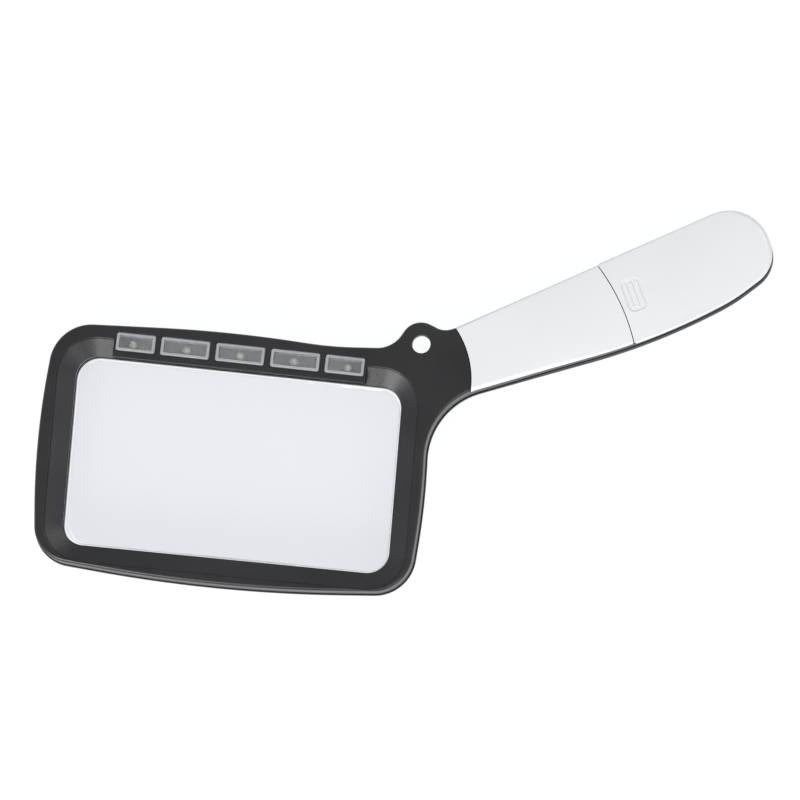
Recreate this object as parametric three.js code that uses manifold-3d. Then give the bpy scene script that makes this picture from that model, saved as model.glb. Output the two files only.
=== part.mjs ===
// Lighted rectangular hand magnifier: a rigid frame around an acrylic lens, five LEDs along the upper
// rim, a lanyard lug, and a cranked handle whose end is a sliding battery door.
//
// Design frame while building: millimetres, X along the lens, Y towards the light bar, Z up out of the
// page-side face, lens centre at X = Y = 0, viewer-side face at Z = 0. The finished group is shifted so
// that its origin is the middle of the bottom of its box.

import * as THREE from 'three';
import * as BufferGeometryUtils from 'three/addons/utils/BufferGeometryUtils.js';
import Module from 'manifold-3d';

const wasm = await Module();
wasm.setup();

// ---------------------------------------------------------------- driving dimensions (mm)

const GAP = 0.3; // clearance between pieces that meet
const CHORD_ERROR = 0.12; // how far a faceted arc may leave the true arc

// Corners of the body's outline, counter-clockwise: x, y, rounding radius.
const OUTLINE_CORNERS = [
  [-62.4, 41.4, 14.2], // frame, far upper corner
  [-65.5, 1.9, 255], // frame, far side
  [-61.4, -36.6, 12.5], // frame, far lower corner
  [0, -41.6, 490], // frame, lower side
  [61.8, -36.4, 13.2], // frame, near lower corner
  [63.8, -6.0, 225], // frame, near side
  [62.1, 25.8, 24.3], // hollow below the neck
  [99.7, 40.5, 300], // handle, lower side
  [134.5, 53.9, 215], // handle, belly
  [158.7, 69.6, 59.5], // handle, towards the tip
  [172.5, 82.4, 11.3], // handle tip, lower
  [161.3, 104.0, 13.8], // handle tip, upper
  [65.4, 50.1, 6.4], // notch between handle and lug
  [61.9, 51.7, 6.7], // lanyard lug
  [54.9, 54.4, 6.9], // lanyard lug
  [48.7, 43.3, 9.4], // hollow below the lug
  [28.5, 41.9, 120], // frame, upper side
  [-4.8, 43.9, 445], // frame, upper side
];

// Lens opening in the page-side shell.
const OPENING_RADIUS = 7.2;
const OPENING_UNDERCUT = 0.45;
const OPENING_CORNERS = [
  [-54.6, 31.6, OPENING_RADIUS],
  [-53.3, -30.9, OPENING_RADIUS],
  [54.5, -31.0, OPENING_RADIUS],
  [53.4, 30.3, OPENING_RADIUS],
];

const FRAME_THICKNESS = 17;
const PARTING_Z = 8.5; // height where the two shells meet
const HANDLE_BOTTOM_Z = 1.0;
const HANDLE_TOP_Z = 18.4;
const FRAME_ROLL = 1.3; // height of the rounding along the upper edge
const HANDLE_ROLL = 3.4;
const COVER_Z = 14.2; // height where the covers sit on the page-side shell's rim around the handle
const TIP_FALL = 1.0; // how far the handle's top comes down towards its tip
const TIP_FALL_START_S = 70;
const TIP_FALL_END_S = 118;
const HANDLE_END_S = 130; // beyond the tip

const BEVEL_WIDTH = 5.6; // page-side bevel around the lens
const BEVEL_LOW_Z = 13.0;
const BEVEL_HIGH_Z = 16.3;
const WALL = 2.2; // side walls of the page-side shell
const SKIN = 1.9; // its top and the covers' top
const FLOOR = 2; // the viewer-side shell's floor, up to this height over its outside

const LENS_FLANGE_LOW_Z = 6.0;
const LENS_FLANGE_HIGH_Z = 8.4;
const LENS_FLANGE_REACH = 1.2; // how far the flange runs under the shell's lip
const LENS_MARGIN = 0.75; // flat margin seen inside the opening
const LENS_RISE = 4.5; // height of each curved face above the flange
const LENS_HALF_DIAGONAL = 61.5;

// Light bar: its own middle, turn and window sizes.
const BAR_X = -0.7;
const BAR_Y = 36.3;
const BAR_TURN = THREE.MathUtils.degToRad(-0.75);
const WINDOW_CENTRES = [-34.6, -18.2, 0, 18.2, 34.6];
const WINDOW_LENGTH = 16.6;
const END_WINDOW_LENGTH = 13.4;
const WINDOW_WIDTH = 6.5;
const PLATEAU_HALF_LENGTH = 41.8; // flat land around the windows
const PLATEAU_WIDTH = 18;
const PLATEAU_UNDERCUT = 0.9;
const WINDOW_FIT = 0.15; // clearance around each window
const STRIP_HALF_LENGTH = 40.6;
const STRIP_LOW_Z = 12.8;
const STRIP_HIGH_Z = 14.3;
const LED_PITCH = 17.85;
const LED_ROW_SHIFT = { along: -0.4, across: -0.25 };
const LED_RADIUS = 1.5;
const BOARD_LOW_Z = 5.2;
const BOARD_HIGH_Z = 6.8;
const BOARD_LENGTH = 88;
const SEAT_GAP = 0.1; // between pieces that rest on each other

const LUG_HOLE = [58.2, 45.2];
const LUG_HOLE_RADIUS = 3.0;
const LUG_MOUTH_RADIUS = 4.3; // the hole flares towards the viewer side
const LUG_FLARE_Z = 13;
const LUG_RELIEF = { x: 56, y: 51.2, radius: 9.5 }; // the viewer-side shell stops short of the lug here
const LUG_RELIEF_WALL = 1.9;

// Handle axis: s runs from the notch towards the tip, t across the handle, negative below the edge.
const HANDLE_ORIGIN = new THREE.Vector2(65.55, 50.13);
const HANDLE_TURN = THREE.MathUtils.degToRad(29.4);
const NECK_START_S = -2; // the frame's section turns into the handle's between these
const NECK_END_S = 34;
const NECK_ARC = { x: 45.8, y: 32.3, radius: 30.1 };
const SEAM_ARC = { x: 60.6, y: 28.9, radius: 70.9 };
const SEAM_WIDTH = 0.3;
const DOOR_TRAVEL = 12; // the door's tongues leave their rails after this slide
const RUNNER_S = 60; // where the tongues and rails start
const RAIL_LOW_Z = 7.2;
const RAIL_HIGH_Z = 8.0;
const TONGUE_LOW_Z = 6.0;
const TONGUE_HIGH_Z = 6.8;
const GRIP = { s: 61.3, t: -14.3, along: 6.2, across: 10.8, depth: 0.5, turn: HANDLE_TURN - 0.07 };
const GRIP_RIB_PITCH = 1.9;

const CELL_RADIUS = 5.25; // AAA cell
const CELL_LENGTH = 44.5;
const CELL_AXIS_Z = 8.8;
const CELL_T = [-9.15, -20.05];
const CONTACT_NEAR_S = 48.6;
const CONTACT_FAR_S = 98.0;
const CONTACT_THICKNESS = 0.4;
const CONTACT_HALF_WIDTH = 4;
const SPRING_LENGTH = 3.2;

const PANEL_PEGS = [[12, -8], [41, -5.8], [36, -20]];
const PEG_RADIUS = 1.3;

const SWITCH_S = 22;
const SWITCH_T = -12.5;
const SWITCH_TRAVEL = 2.0;
const SWITCH_RECESS_DEPTH = 0.9;

const SCREW_CENTRES = [[-56.3, 33.3], [-17, -35.7], [17, -35.7], [56.5, 33.4]];
const SCREW_RADIUS = 1.1;
const SCREW_HEAD_RADIUS = 1.9;
const SCREW_CLEARANCE = 0.4; // around the heads in their counterbores
const SCREW_HEAD_Z = 1.2; // the heads lie this deep in their counterbores

// ---------------------------------------------------------------- outlines

// A closed polygon whose corners are rounded; returns points in the order of the corners.
function roundedLoop(corners) {
  const points = [];
  corners.forEach(([x, y, radius], i) => {
    const corner = new THREE.Vector2(x, y);
    const before = new THREE.Vector2(...corners.at(i - 1)).sub(corner).normalize();
    const after = new THREE.Vector2(...corners[(i + 1) % corners.length]).sub(corner).normalize();
    const half = Math.acos(before.dot(after)) / 2;
    const bisector = before.clone().add(after).normalize();
    const centre = corner.clone().addScaledVector(bisector, radius / Math.sin(half));
    const first = corner.clone().addScaledVector(before, radius / Math.tan(half)).sub(centre).angle();
    const last = corner.clone().addScaledVector(after, radius / Math.tan(half)).sub(centre).angle();
    const sweep = THREE.MathUtils.euclideanModulo(last - first + Math.PI, 2 * Math.PI) - Math.PI;
    const step = 2 * Math.acos(1 - CHORD_ERROR / radius);
    const count = Math.max(1, Math.ceil(Math.abs(sweep) / step));
    for (let k = 0; k <= count; k++) {
      const angle = first + (sweep * k) / count;
      points.push(new THREE.Vector2(Math.cos(angle), Math.sin(angle)).multiplyScalar(radius).add(centre));
    }
  });
  return points;
}

// Outward direction at each point of a counter-clockwise loop, scaled so that moved edges stay parallel.
function outwardVectors(loop) {
  return loop.map((point, i) => {
    const back = point.clone().sub(loop.at(i - 1)).normalize();
    const ahead = loop[(i + 1) % loop.length].clone().sub(point).normalize();
    const sum = new THREE.Vector2(back.y + ahead.y, -back.x - ahead.x);
    return sum.divideScalar(1 + back.dot(ahead));
  });
}

function grownLoop(loop, distance) {
  const outward = outwardVectors(loop);
  return loop.map((point, i) => point.clone().addScaledVector(outward[i], distance));
}

const outline = roundedLoop(OUTLINE_CORNERS);
const outlineOutward = outwardVectors(outline);
const opening = roundedLoop(OPENING_CORNERS);

function handlePoint(s, t) {
  return new THREE.Vector2(s, t).rotateAround(new THREE.Vector2(), HANDLE_TURN).add(HANDLE_ORIGIN);
}

function alongHandle(point) {
  return point.clone().sub(HANDLE_ORIGIN).rotateAround(new THREE.Vector2(), -HANDLE_TURN).x;
}

// 0 on the frame, 1 on the handle, smooth across the neck.
const handleShare = (s) => THREE.MathUtils.smoothstep(s, NECK_START_S, NECK_END_S);
const lowestZ = (s) => HANDLE_BOTTOM_Z * handleShare(s);
const highestZ = (s) => (
  THREE.MathUtils.lerp(FRAME_THICKNESS, HANDLE_TOP_Z, handleShare(s))
  - TIP_FALL * THREE.MathUtils.smoothstep(s, TIP_FALL_START_S, TIP_FALL_END_S));

// ---------------------------------------------------------------- solids

const SKY = 40; // beyond every piece in height, for cutters
const WIDE = 500; // beyond every piece across

function toSolid(geometry) {
  const bare = geometry.clone();
  bare.deleteAttribute('normal');
  bare.deleteAttribute('uv');
  const merged = BufferGeometryUtils.mergeVertices(bare, 1e-4);
  return new wasm.Manifold(new wasm.Mesh({
    numProp: 3,
    vertProperties: new Float32Array(merged.attributes.position.array),
    triVerts: new Uint32Array(merged.index.array),
  }));
}

function toGeometry(solid) {
  const mesh = solid.getMesh();
  const geometry = new THREE.BufferGeometry();
  geometry.setAttribute('position', new THREE.BufferAttribute(mesh.vertProperties, 3));
  geometry.setIndex(new THREE.BufferAttribute(mesh.triVerts, 1));
  geometry.computeVertexNormals();
  return geometry;
}

// Skin over rings of equal point count, lowest first, closed by a flat cap at each end.
function loft(rings) {
  const count = rings[0].length;
  const positions = rings.flat().flatMap((p) => [p.x, p.y, p.z]);
  const indices = [];
  for (let k = 0; k < rings.length - 1; k++) {
    for (let i = 0; i < count; i++) {
      const j = (i + 1) % count;
      const [a, b] = [k * count + i, k * count + j];
      indices.push(a, b, b + count, a, b + count, a + count);
    }
  }
  const top = (rings.length - 1) * count;
  const flat = (ring) => ring.map((p) => new THREE.Vector2(p.x, p.y));
  THREE.ShapeUtils.triangulateShape(flat(rings[0]), []).forEach(([a, b, c]) => indices.push(c, b, a));
  THREE.ShapeUtils.triangulateShape(flat(rings.at(-1)), [])
    .forEach(([a, b, c]) => indices.push(top + a, top + b, top + c));
  const geometry = new THREE.BufferGeometry();
  geometry.setAttribute('position', new THREE.Float32BufferAttribute(positions, 3));
  geometry.setIndex(indices);
  return toSolid(geometry);
}

// Rings of one loop: each step is [growth, height].
function loopStack(loop, steps) {
  return loft(steps.map(([growth, z]) => (
    grownLoop(loop, growth).map((p) => new THREE.Vector3(p.x, p.y, z)))));
}

// Rings of the body's outline, each step [frame inset, handle inset, height as a function of s], trimmed
// to the body's own bottom and top moved inwards by a skin thickness.
function bodyStack(steps, skin = 0) {
  const rings = steps.map(([frameInset, handleInset, height]) => outline.map((point, i) => {
    const s = alongHandle(point);
    const inset = THREE.MathUtils.lerp(frameInset, handleInset, handleShare(s));
    const moved = point.clone().addScaledVector(outlineOutward[i], -inset);
    return new THREE.Vector3(moved.x, moved.y, height(s));
  }));
  const level = (ring, z) => ring.map((p) => new THREE.Vector3(p.x, p.y, z));
  return loft([level(rings[0], -SKY), ...rings, level(rings.at(-1), SKY)]).intersect(bodySlab(skin));
}

// Everything between the body's bottom and top surfaces, which change height along the handle only.
function bodySlab(skin) {
  const stations = [-WIDE];
  for (let s = NECK_START_S; s <= NECK_END_S; s += 6) stations.push(s);
  for (let s = TIP_FALL_START_S; s <= HANDLE_END_S; s += 8) stations.push(s);
  const shape = new THREE.Shape([
    ...stations.map((s) => new THREE.Vector2(s, lowestZ(s) + skin)),
    ...stations.toReversed().map((s) => new THREE.Vector2(s, highestZ(s) - skin)),
  ]);
  const geometry = new THREE.ExtrudeGeometry(shape, { depth: WIDE, bevelEnabled: false });
  geometry.rotateX(Math.PI / 2).translate(0, WIDE / 2, 0).rotateZ(HANDLE_TURN);
  return toSolid(geometry.translate(HANDLE_ORIGIN.x, HANDLE_ORIGIN.y, 0));
}

function post(x, y, radius, lowZ, highZ, segments = 20) {
  const geometry = new THREE.CylinderGeometry(radius, radius, highZ - lowZ, segments);
  geometry.rotateX(Math.PI / 2).translate(x, y, (lowZ + highZ) / 2);
  return toSolid(geometry);
}

function block(x, y, z, lengthX, lengthY, lengthZ, turn = 0) {
  const geometry = new THREE.BoxGeometry(lengthX, lengthY, lengthZ);
  geometry.rotateZ(turn).translate(x, y, z);
  return toSolid(geometry);
}

// A block given by its reach along the handle axis, across it, and in height.
function handleBlock(s0, s1, t0, t1, z0, z1) {
  const middle = handlePoint((s0 + s1) / 2, (t0 + t1) / 2);
  return block(middle.x, middle.y, (z0 + z1) / 2, s1 - s0, t1 - t0, z1 - z0, HANDLE_TURN);
}

// A block in the light bar's own frame.
function barBlock(along, across, lengthX, lengthY, z0, z1) {
  const middle = new THREE.Vector2(along, across).rotateAround(new THREE.Vector2(), BAR_TURN);
  return block(BAR_X + middle.x, BAR_Y + middle.y, (z0 + z1) / 2, lengthX, lengthY, z1 - z0, BAR_TURN);
}

function lathe(profile, segments) {
  return new THREE.LatheGeometry(profile.map(([r, y]) => new THREE.Vector2(r, y)), segments);
}

function union(...solids) {
  return solids.reduce((sum, solid) => sum.add(solid));
}

function without(solid, ...cuts) {
  return cuts.reduce((rest, cut) => rest.subtract(cut), solid);
}

// ---------------------------------------------------------------- shared cutters

const isEnd = (i) => i === 0 || i === WINDOW_CENTRES.length - 1;
const windowLength = (i) => (isEnd(i) ? END_WINDOW_LENGTH : WINDOW_LENGTH);

// The opening's wall falls away under its edge, and further under the flat land by the windows.
const openingCut = loopStack(opening, [
  [OPENING_UNDERCUT, -SKY],
  [OPENING_UNDERCUT, PARTING_Z],
  [0, BEVEL_LOW_Z - 0.2],
  [0, SKY],
]);
const plateauUndercut = loopStack(opening, [
  [PLATEAU_UNDERCUT, -SKY],
  [PLATEAU_UNDERCUT, PARTING_Z],
  [0, FRAME_THICKNESS - 0.4],
  [0, SKY],
]).intersect(barBlock(0, -8, 2 * PLATEAU_HALF_LENGTH, 16, -SKY + 1, SKY - 1));
const bevelCut = without(
  loopStack(opening, [
    [0, BEVEL_LOW_Z - 4],
    [0, BEVEL_LOW_Z],
    [BEVEL_WIDTH, BEVEL_HIGH_Z],
    [BEVEL_WIDTH + 0.3, FRAME_THICKNESS - 0.2],
    [BEVEL_WIDTH + 0.3, SKY],
  ]),
  barBlock(0, 0, 2 * PLATEAU_HALF_LENGTH, PLATEAU_WIDTH, 0, SKY + 1),
);
const lugHole = toSolid(lathe([
  [0, -SKY],
  [LUG_MOUTH_RADIUS, -SKY],
  [LUG_MOUTH_RADIUS, PARTING_Z],
  [LUG_HOLE_RADIUS, LUG_FLARE_Z],
  [LUG_HOLE_RADIUS, SKY],
  [0, SKY],
], 32).rotateX(Math.PI / 2).translate(...LUG_HOLE, 0));
const lugRelief = (growth) => (
  post(LUG_RELIEF.x, LUG_RELIEF.y, LUG_RELIEF.radius + growth, -SKY, SKY + 1, 64));

// Everything on the handle's side of an arc, and everything on the frame's side of it.
const pastArc = ({ x, y, radius }, fromS) => without(
  handleBlock(fromS, HANDLE_END_S, -60, 40, -SKY, SKY),
  post(x, y, radius, -SKY - 1, SKY + 1, 160),
);
const insideArc = ({ x, y, radius }) => post(x, y, radius - SEAM_WIDTH, -SKY, SKY, 160);
const handleSide = pastArc(NECK_ARC, -4);
const pastSeam = pastArc(SEAM_ARC, 20);
const beforeSeam = insideArc(SEAM_ARC);

// ---------------------------------------------------------------- housings

const up = (height) => (s) => lowestZ(s) + height;
const down = (depth) => (s) => highestZ(s) - depth;
const rounding = (share) => (s) => (
  highestZ(s) - share * THREE.MathUtils.lerp(FRAME_ROLL, HANDLE_ROLL, handleShare(s)));
const above = (z) => block(0, 0, z + SKY, WIDE, WIDE, 2 * SKY);
const below = (z) => block(0, 0, z - SKY, WIDE, WIDE, 2 * SKY);

// Where the page-side shell may be: all of the frame, and on the handle only up to the covers.
const shellRegion = without(
  block(0, 0, 0, WIDE, WIDE, 2 * SKY),
  pastArc({ ...NECK_ARC, radius: NECK_ARC.radius - SEAM_WIDTH }, -4 - SEAM_WIDTH)
    .intersect(above(COVER_Z - GAP / 2)),
);

function pageSideBody(handleInset) {
  return bodyStack([
    [0, handleInset, up(8)],
    [0.25, handleInset + 0.1, rounding(1)],
    [0.4, handleInset + 0.8, rounding(0.5)],
    [0.75, handleInset + 2.2, rounding(0.21)],
    [1.4, handleInset + 6.0, rounding(0)],
  ]).intersect(above(PARTING_Z + GAP / 2));
}

// The space inside the page-side pieces, for a wall of the given thickness.
function pageSideCavity(wall) {
  return bodyStack([
    [wall, wall, up(8)],
    [wall, wall + 0.2, down(4.6)],
    [wall + 0.9, wall + 1.6, down(3)],
    [wall + 1.8, wall + 4.6, down(SKIN)],
  ], SKIN);
}

function frontShell() {
  const lensWall = loopStack(opening, [[WALL, 0], [WALL, 10.6], [WALL + 5.6, 14.3], [9, SKY]]);
  const lugWall = post(...LUG_HOLE, LUG_HOLE_RADIUS + 3.4, 0, SKY);
  const stripSeat = barBlock(
    0, -0.05, 2 * (STRIP_HALF_LENGTH + GAP), 7.1, PARTING_Z - 1, STRIP_HIGH_Z + GAP);
  const lugSolid = lugRelief(LUG_RELIEF_WALL);
  const cavity = without(pageSideCavity(WALL), lensWall, lugWall, lugSolid).add(stripSeat);
  const bosses = SCREW_CENTRES.map(([x, y]) => post(x, y, 2.6, PARTING_Z + GAP / 2, 15));
  const windows = WINDOW_CENTRES.map((along, i) => (
    barBlock(along, 0, windowLength(i), WINDOW_WIDTH, 10, SKY)));
  const screwHoles = SCREW_CENTRES.map(([x, y]) => post(x, y, SCREW_RADIUS + 0.2, 0, 13));
  const skin = without(pageSideBody(0.35).intersect(shellRegion), cavity);
  const lensSide = [bevelCut, openingCut, plateauUndercut];
  return without(union(skin, ...bosses), ...lensSide, lugHole, ...windows, ...screwHoles);
}

function backShell() {
  const body = bodyStack([
    [1.9, 6.5, up(0)],
    [0.9, 4.2, up(0.3)],
    [0.2, 2.0, up(1.3)],
    [-0.1, 0.5, up(3.0)],
    [-0.5, -0.45, up(6.6)],
    [-0.5, -0.45, up(9)],
  ]).intersect(below(PARTING_Z - GAP / 2));
  const cavity = without(
    bodyStack([
      [3.0, 8.0, up(FLOOR)],
      [1.9, 4.4, up(2.4)],
      [1.7, 2.0, up(4.6)],
      [1.7, 1.9, up(9)],
    ], FLOOR),
    loopStack(opening, [[2.8, 0], [2.8, SKY]]),
    lugRelief(LUG_RELIEF_WALL),
    post(...LUG_HOLE, LUG_MOUTH_RADIUS + LUG_RELIEF_WALL, 0, SKY),
  );
  const lensCut = loopStack(opening, [
    [3.0, -1],
    [2.6, 0.35],
    [0, 3.2],
    [0, LENS_FLANGE_LOW_Z - GAP],
    [LENS_FLANGE_REACH + GAP, LENS_FLANGE_LOW_Z - GAP],
    [LENS_FLANGE_REACH + GAP, SKY],
  ]);
  const screwBosses = SCREW_CENTRES.map(([x, y]) => post(x, y, 3.1, 1.5, PARTING_Z - GAP / 2));
  const screwHoles = SCREW_CENTRES.flatMap(([x, y]) => [
    post(x, y, SCREW_HEAD_RADIUS + SCREW_CLEARANCE, -1, 3.1),
    post(x, y, SCREW_RADIUS + 0.3, 3, SKY),
  ]);
  const endWalls = [
    handleBlock(CONTACT_NEAR_S - 1.8, CONTACT_NEAR_S - GAP, -25, -4.6, FLOOR, 12.6),
    handleBlock(CONTACT_FAR_S + GAP, CONTACT_FAR_S + 1.7, -24, -4.6, FLOOR, 11.6),
  ];
  const rails = [
    handleBlock(RUNNER_S, RUNNER_S + DOOR_TRAVEL, -2.6, -1.2, RAIL_LOW_Z, RAIL_HIGH_Z),
    handleBlock(RUNNER_S, RUNNER_S + DOOR_TRAVEL, -29, -26.7, RAIL_LOW_Z, RAIL_HIGH_Z),
  ];
  const boardPosts = [-31, -9, 9, 31].map((along) => (
    barBlock(along, 1.2, 2, 2, FLOOR, BOARD_LOW_Z - SEAT_GAP)));
  const pegSockets = PANEL_PEGS.map(([s, t]) => {
    const at = handlePoint(s, t);
    return post(at.x, at.y, 2.6, 1.6, 7.4).subtract(post(at.x, at.y, PEG_RADIUS + GAP, 4, 8));
  });
  const switchAt = (s, halfS, halfT, z0, z1) => (
    handleBlock(s - halfS, s + halfS, SWITCH_T - halfT, SWITCH_T + halfT, z0, z1));
  const middleS = SWITCH_S + SWITCH_TRAVEL / 2;
  const switchRecess = switchAt(middleS, 6.6, 4, -1, HANDLE_BOTTOM_Z + SWITCH_RECESS_DEPTH);
  const switchSlot = switchAt(middleS, 3.2, 1.7, -1, 6);
  const cradle = [-1, 1].map((side) => {
    const t = SWITCH_T + side * 3.4;
    return handleBlock(middleS - 5.4, middleS + 5.4, t - 0.6, t + 0.6, 2.2, 6.4);
  });
  const fittings = union(...screwBosses, ...endWalls, ...rails, ...boardPosts, ...pegSockets, ...cradle);
  const fitted = without(body, cavity).add(fittings);
  return without(fitted, lensCut, lugHole, lugRelief(0), ...screwHoles, switchRecess, switchSlot);
}

// ---------------------------------------------------------------- handle covers

function handlePanel() {
  const shell = without(pageSideBody(0.35), pageSideCavity(2.3)).intersect(above(COVER_Z + GAP / 2));
  const pegs = PANEL_PEGS.map(([s, t]) => {
    const at = handlePoint(s, t);
    return post(at.x, at.y, PEG_RADIUS, 4.6, 16);
  });
  return union(shell.intersect(handleSide).intersect(beforeSeam), ...pegs);
}

function batteryDoor() {
  const shell = without(pageSideBody(0.05), pageSideCavity(2)).intersect(above(COVER_Z + GAP / 2));
  const at = handlePoint(GRIP.s, GRIP.t);
  const recess = block(at.x, at.y, HANDLE_TOP_Z, GRIP.along, GRIP.across, 2 * GRIP.depth, GRIP.turn);
  const ribs = [-1, 0, 1].map((place) => {
    const shift = new THREE.Vector2(place * GRIP_RIB_PITCH, 0).rotateAround(new THREE.Vector2(), GRIP.turn);
    return block(
      at.x + shift.x, at.y + shift.y, HANDLE_TOP_Z - GRIP.depth, 0.7, GRIP.across - 2.4, 1, GRIP.turn);
  });
  const runners = [
    [-3.9, -3.2, -2.2],
    [-26.3, -25.7, -27.1],
  ].flatMap(([t0, t1, foot]) => [
    handleBlock(RUNNER_S, RUNNER_S + DOOR_TRAVEL, t0, t1, TONGUE_LOW_Z, 15.2),
    handleBlock(RUNNER_S, RUNNER_S + DOOR_TRAVEL, Math.min(t0, foot), Math.max(t1, foot),
      TONGUE_LOW_Z, TONGUE_HIGH_Z),
  ]);
  return union(shell.intersect(pastSeam).subtract(recess), ...ribs, ...runners);
}

// ---------------------------------------------------------------- optics and lights

function magnifyingLens() {
  const middleZ = (LENS_FLANGE_LOW_Z + LENS_FLANGE_HIGH_Z) / 2;
  const halfThick = (LENS_FLANGE_HIGH_Z - LENS_FLANGE_LOW_Z) / 2;
  const radius = (LENS_HALF_DIAGONAL ** 2 + LENS_RISE ** 2) / (2 * LENS_RISE);
  const steps = 9;
  const profile = [];
  for (let k = 0; k <= steps; k++) {
    const r = (LENS_HALF_DIAGONAL * k) / steps;
    profile.push([r, Math.sqrt(radius ** 2 - r ** 2) - radius + LENS_RISE + halfThick]);
  }
  const face = profile.slice().reverse();
  const closed = [...profile.map(([r, y]) => [r, -y]), ...face];
  const domes = toSolid(lathe(closed, 40).rotateX(Math.PI / 2).translate(0, 0, middleZ));
  const core = loopStack(opening, [[-LENS_MARGIN, -5], [-LENS_MARGIN, 25]]);
  const flange = loopStack(opening, [
    [LENS_FLANGE_REACH, LENS_FLANGE_LOW_Z],
    [LENS_FLANGE_REACH, LENS_FLANGE_HIGH_Z],
  ]);
  return domes.intersect(core).add(flange);
}

function lightWindowStrip() {
  const strip = barBlock(0, 0, 2 * STRIP_HALF_LENGTH, 6.6, STRIP_LOW_Z, STRIP_HIGH_Z);
  const pads = WINDOW_CENTRES.map((along, i) => {
    const [length, width] = [windowLength(i) - 2 * WINDOW_FIT, WINDOW_WIDTH - 2 * WINDOW_FIT];
    return union(
      barBlock(along, 0, length, width, STRIP_LOW_Z + 1, FRAME_THICKNESS - 0.3),
      barBlock(along, 0, length - 0.8, width - 0.8, STRIP_HIGH_Z, FRAME_THICKNESS),
    );
  });
  const pockets = WINDOW_CENTRES.map((along, i) => (
    barBlock(along, 0, windowLength(i) - 2.6, 4, STRIP_LOW_Z - 1, FRAME_THICKNESS - 1.8)));
  return without(union(strip, ...pads), ...pockets);
}

function ledBoard() {
  const board = barBlock(0, 0.7, BOARD_LENGTH, 4.4, BOARD_LOW_Z, BOARD_HIGH_Z);
  const notches = [-1, 1].map((side) => barBlock((side * BOARD_LENGTH) / 2, 2.9, 3, 1.6, 0, SKY));
  return without(board, ...notches);
}

function led() {
  const [flange, body, rise] = [1.7, LED_RADIUS, 3.9];
  return lathe([
    [0, 0],
    [flange, 0],
    [flange, 0.9],
    [body, 0.9],
    [body, rise],
    [body * 0.88, rise + 0.7],
    [body * 0.55, rise + 1.2],
    [0, rise + 1.45],
  ], 18).rotateX(Math.PI / 2);
}

// ---------------------------------------------------------------- power

// A cell lying along +X with its button end at the far end.
function cell() {
  const r = CELL_RADIUS;
  return lathe([
    [0, 0],
    [r - 0.9, 0],
    [r - 0.3, 0.3],
    [r, 0.9],
    [r, CELL_LENGTH - 2.0],
    [r - 0.5, CELL_LENGTH - 1.0],
    [1.9, CELL_LENGTH - 0.8],
    [1.9, CELL_LENGTH],
    [0, CELL_LENGTH],
  ], 24).rotateZ(-Math.PI / 2);
}

class TaperedHelix extends THREE.Curve {
  constructor(turns, startRadius, endRadius, length) {
    super();
    Object.assign(this, { turns, startRadius, endRadius, length });
  }

  getPoint(t, target = new THREE.Vector3()) {
    const angle = 2 * Math.PI * this.turns * t;
    const radius = THREE.MathUtils.lerp(this.startRadius, this.endRadius, t);
    return target.set(this.length * t, radius * Math.cos(angle), radius * Math.sin(angle));
  }
}

function roundSection(radius, sides) {
  const shape = new THREE.Shape();
  for (let i = 0; i < sides; i++) {
    const angle = (2 * Math.PI * i) / sides;
    const [x, y] = [radius * Math.cos(angle), radius * Math.sin(angle)];
    if (i === 0) shape.moveTo(x, y);
    else shape.lineTo(x, y);
  }
  return shape;
}

function tube(path, radius, sides, steps) {
  return new THREE.ExtrudeGeometry(roundSection(radius, sides), {
    extrudePath: path,
    steps,
    bevelEnabled: false,
  });
}

// Wide end at X = 0, narrow end against the cell.
function contactSpring() {
  const wire = 0.3;
  const path = new TaperedHelix(3.5, 3.6, 1.9, SPRING_LENGTH - 2 * wire);
  return tube(path, wire, 5, 38).translate(wire, 0, 0);
}

function lead(points, radius = 0.65) {
  const path = new THREE.CatmullRomCurve3(points.map((p) => new THREE.Vector3(...p)), false, 'centripetal');
  return tube(path, radius, 6, 22);
}

const onHandle = (s, t, z) => [...handlePoint(s, t).toArray(), z];

// ---------------------------------------------------------------- switch

function switchBody() {
  const [s, t] = [SWITCH_S + SWITCH_TRAVEL / 2, SWITCH_T];
  const body = handleBlock(s - 4.3, s + 4.3, t - 2.3, t + 2.3, 4.6, 8.2);
  const slot = handleBlock(s - 2.6, s + 2.6, t - 1.1, t + 1.1, 4, 6.2);
  const pins = [-2.5, 0, 2.5].map((shift) => (
    handleBlock(s + shift - 0.3, s + shift + 0.3, t - 0.3, t + 0.3, 8, 10.4)));
  return union(body.subtract(slot), ...pins);
}

function switchSlider() {
  return handleBlock(SWITCH_S - 1, SWITCH_S + 1, SWITCH_T - 0.8, SWITCH_T + 0.8, 3.4, 5.9);
}

function switchKnob() {
  const [s, t] = [SWITCH_S, SWITCH_T];
  const plate = handleBlock(s - 4.2, s + 4.2, t - 3, t + 3, 0.75, 1.6);
  const ribs = [-2.4, -0.8, 0.8, 2.4].map((shift) => (
    handleBlock(s + shift - 0.35, s + shift + 0.35, t - 2.4, t + 2.4, 0.35, 1)));
  const stem = handleBlock(s - 1.6, s + 1.6, t - 1.3, t + 1.3, 1.5, 3.1);
  return union(plate, stem, ...ribs);
}

// ---------------------------------------------------------------- fasteners

function screw() {
  const r = SCREW_RADIUS;
  const shaft = toSolid(lathe([
    [0, 0],
    [SCREW_HEAD_RADIUS - 0.6, 0],
    [SCREW_HEAD_RADIUS, 0.5],
    [SCREW_HEAD_RADIUS, 1.6],
    [r, 1.6],
    [r, 9.6],
    [0, 11.2],
  ], 20).rotateX(Math.PI / 2));
  const cross = [0, Math.PI / 2].map((turn) => block(0, 0, 0.4, 2.2, 0.5, 1.2, turn));
  return without(shaft, ...cross);
}

// ---------------------------------------------------------------- assembly

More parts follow.
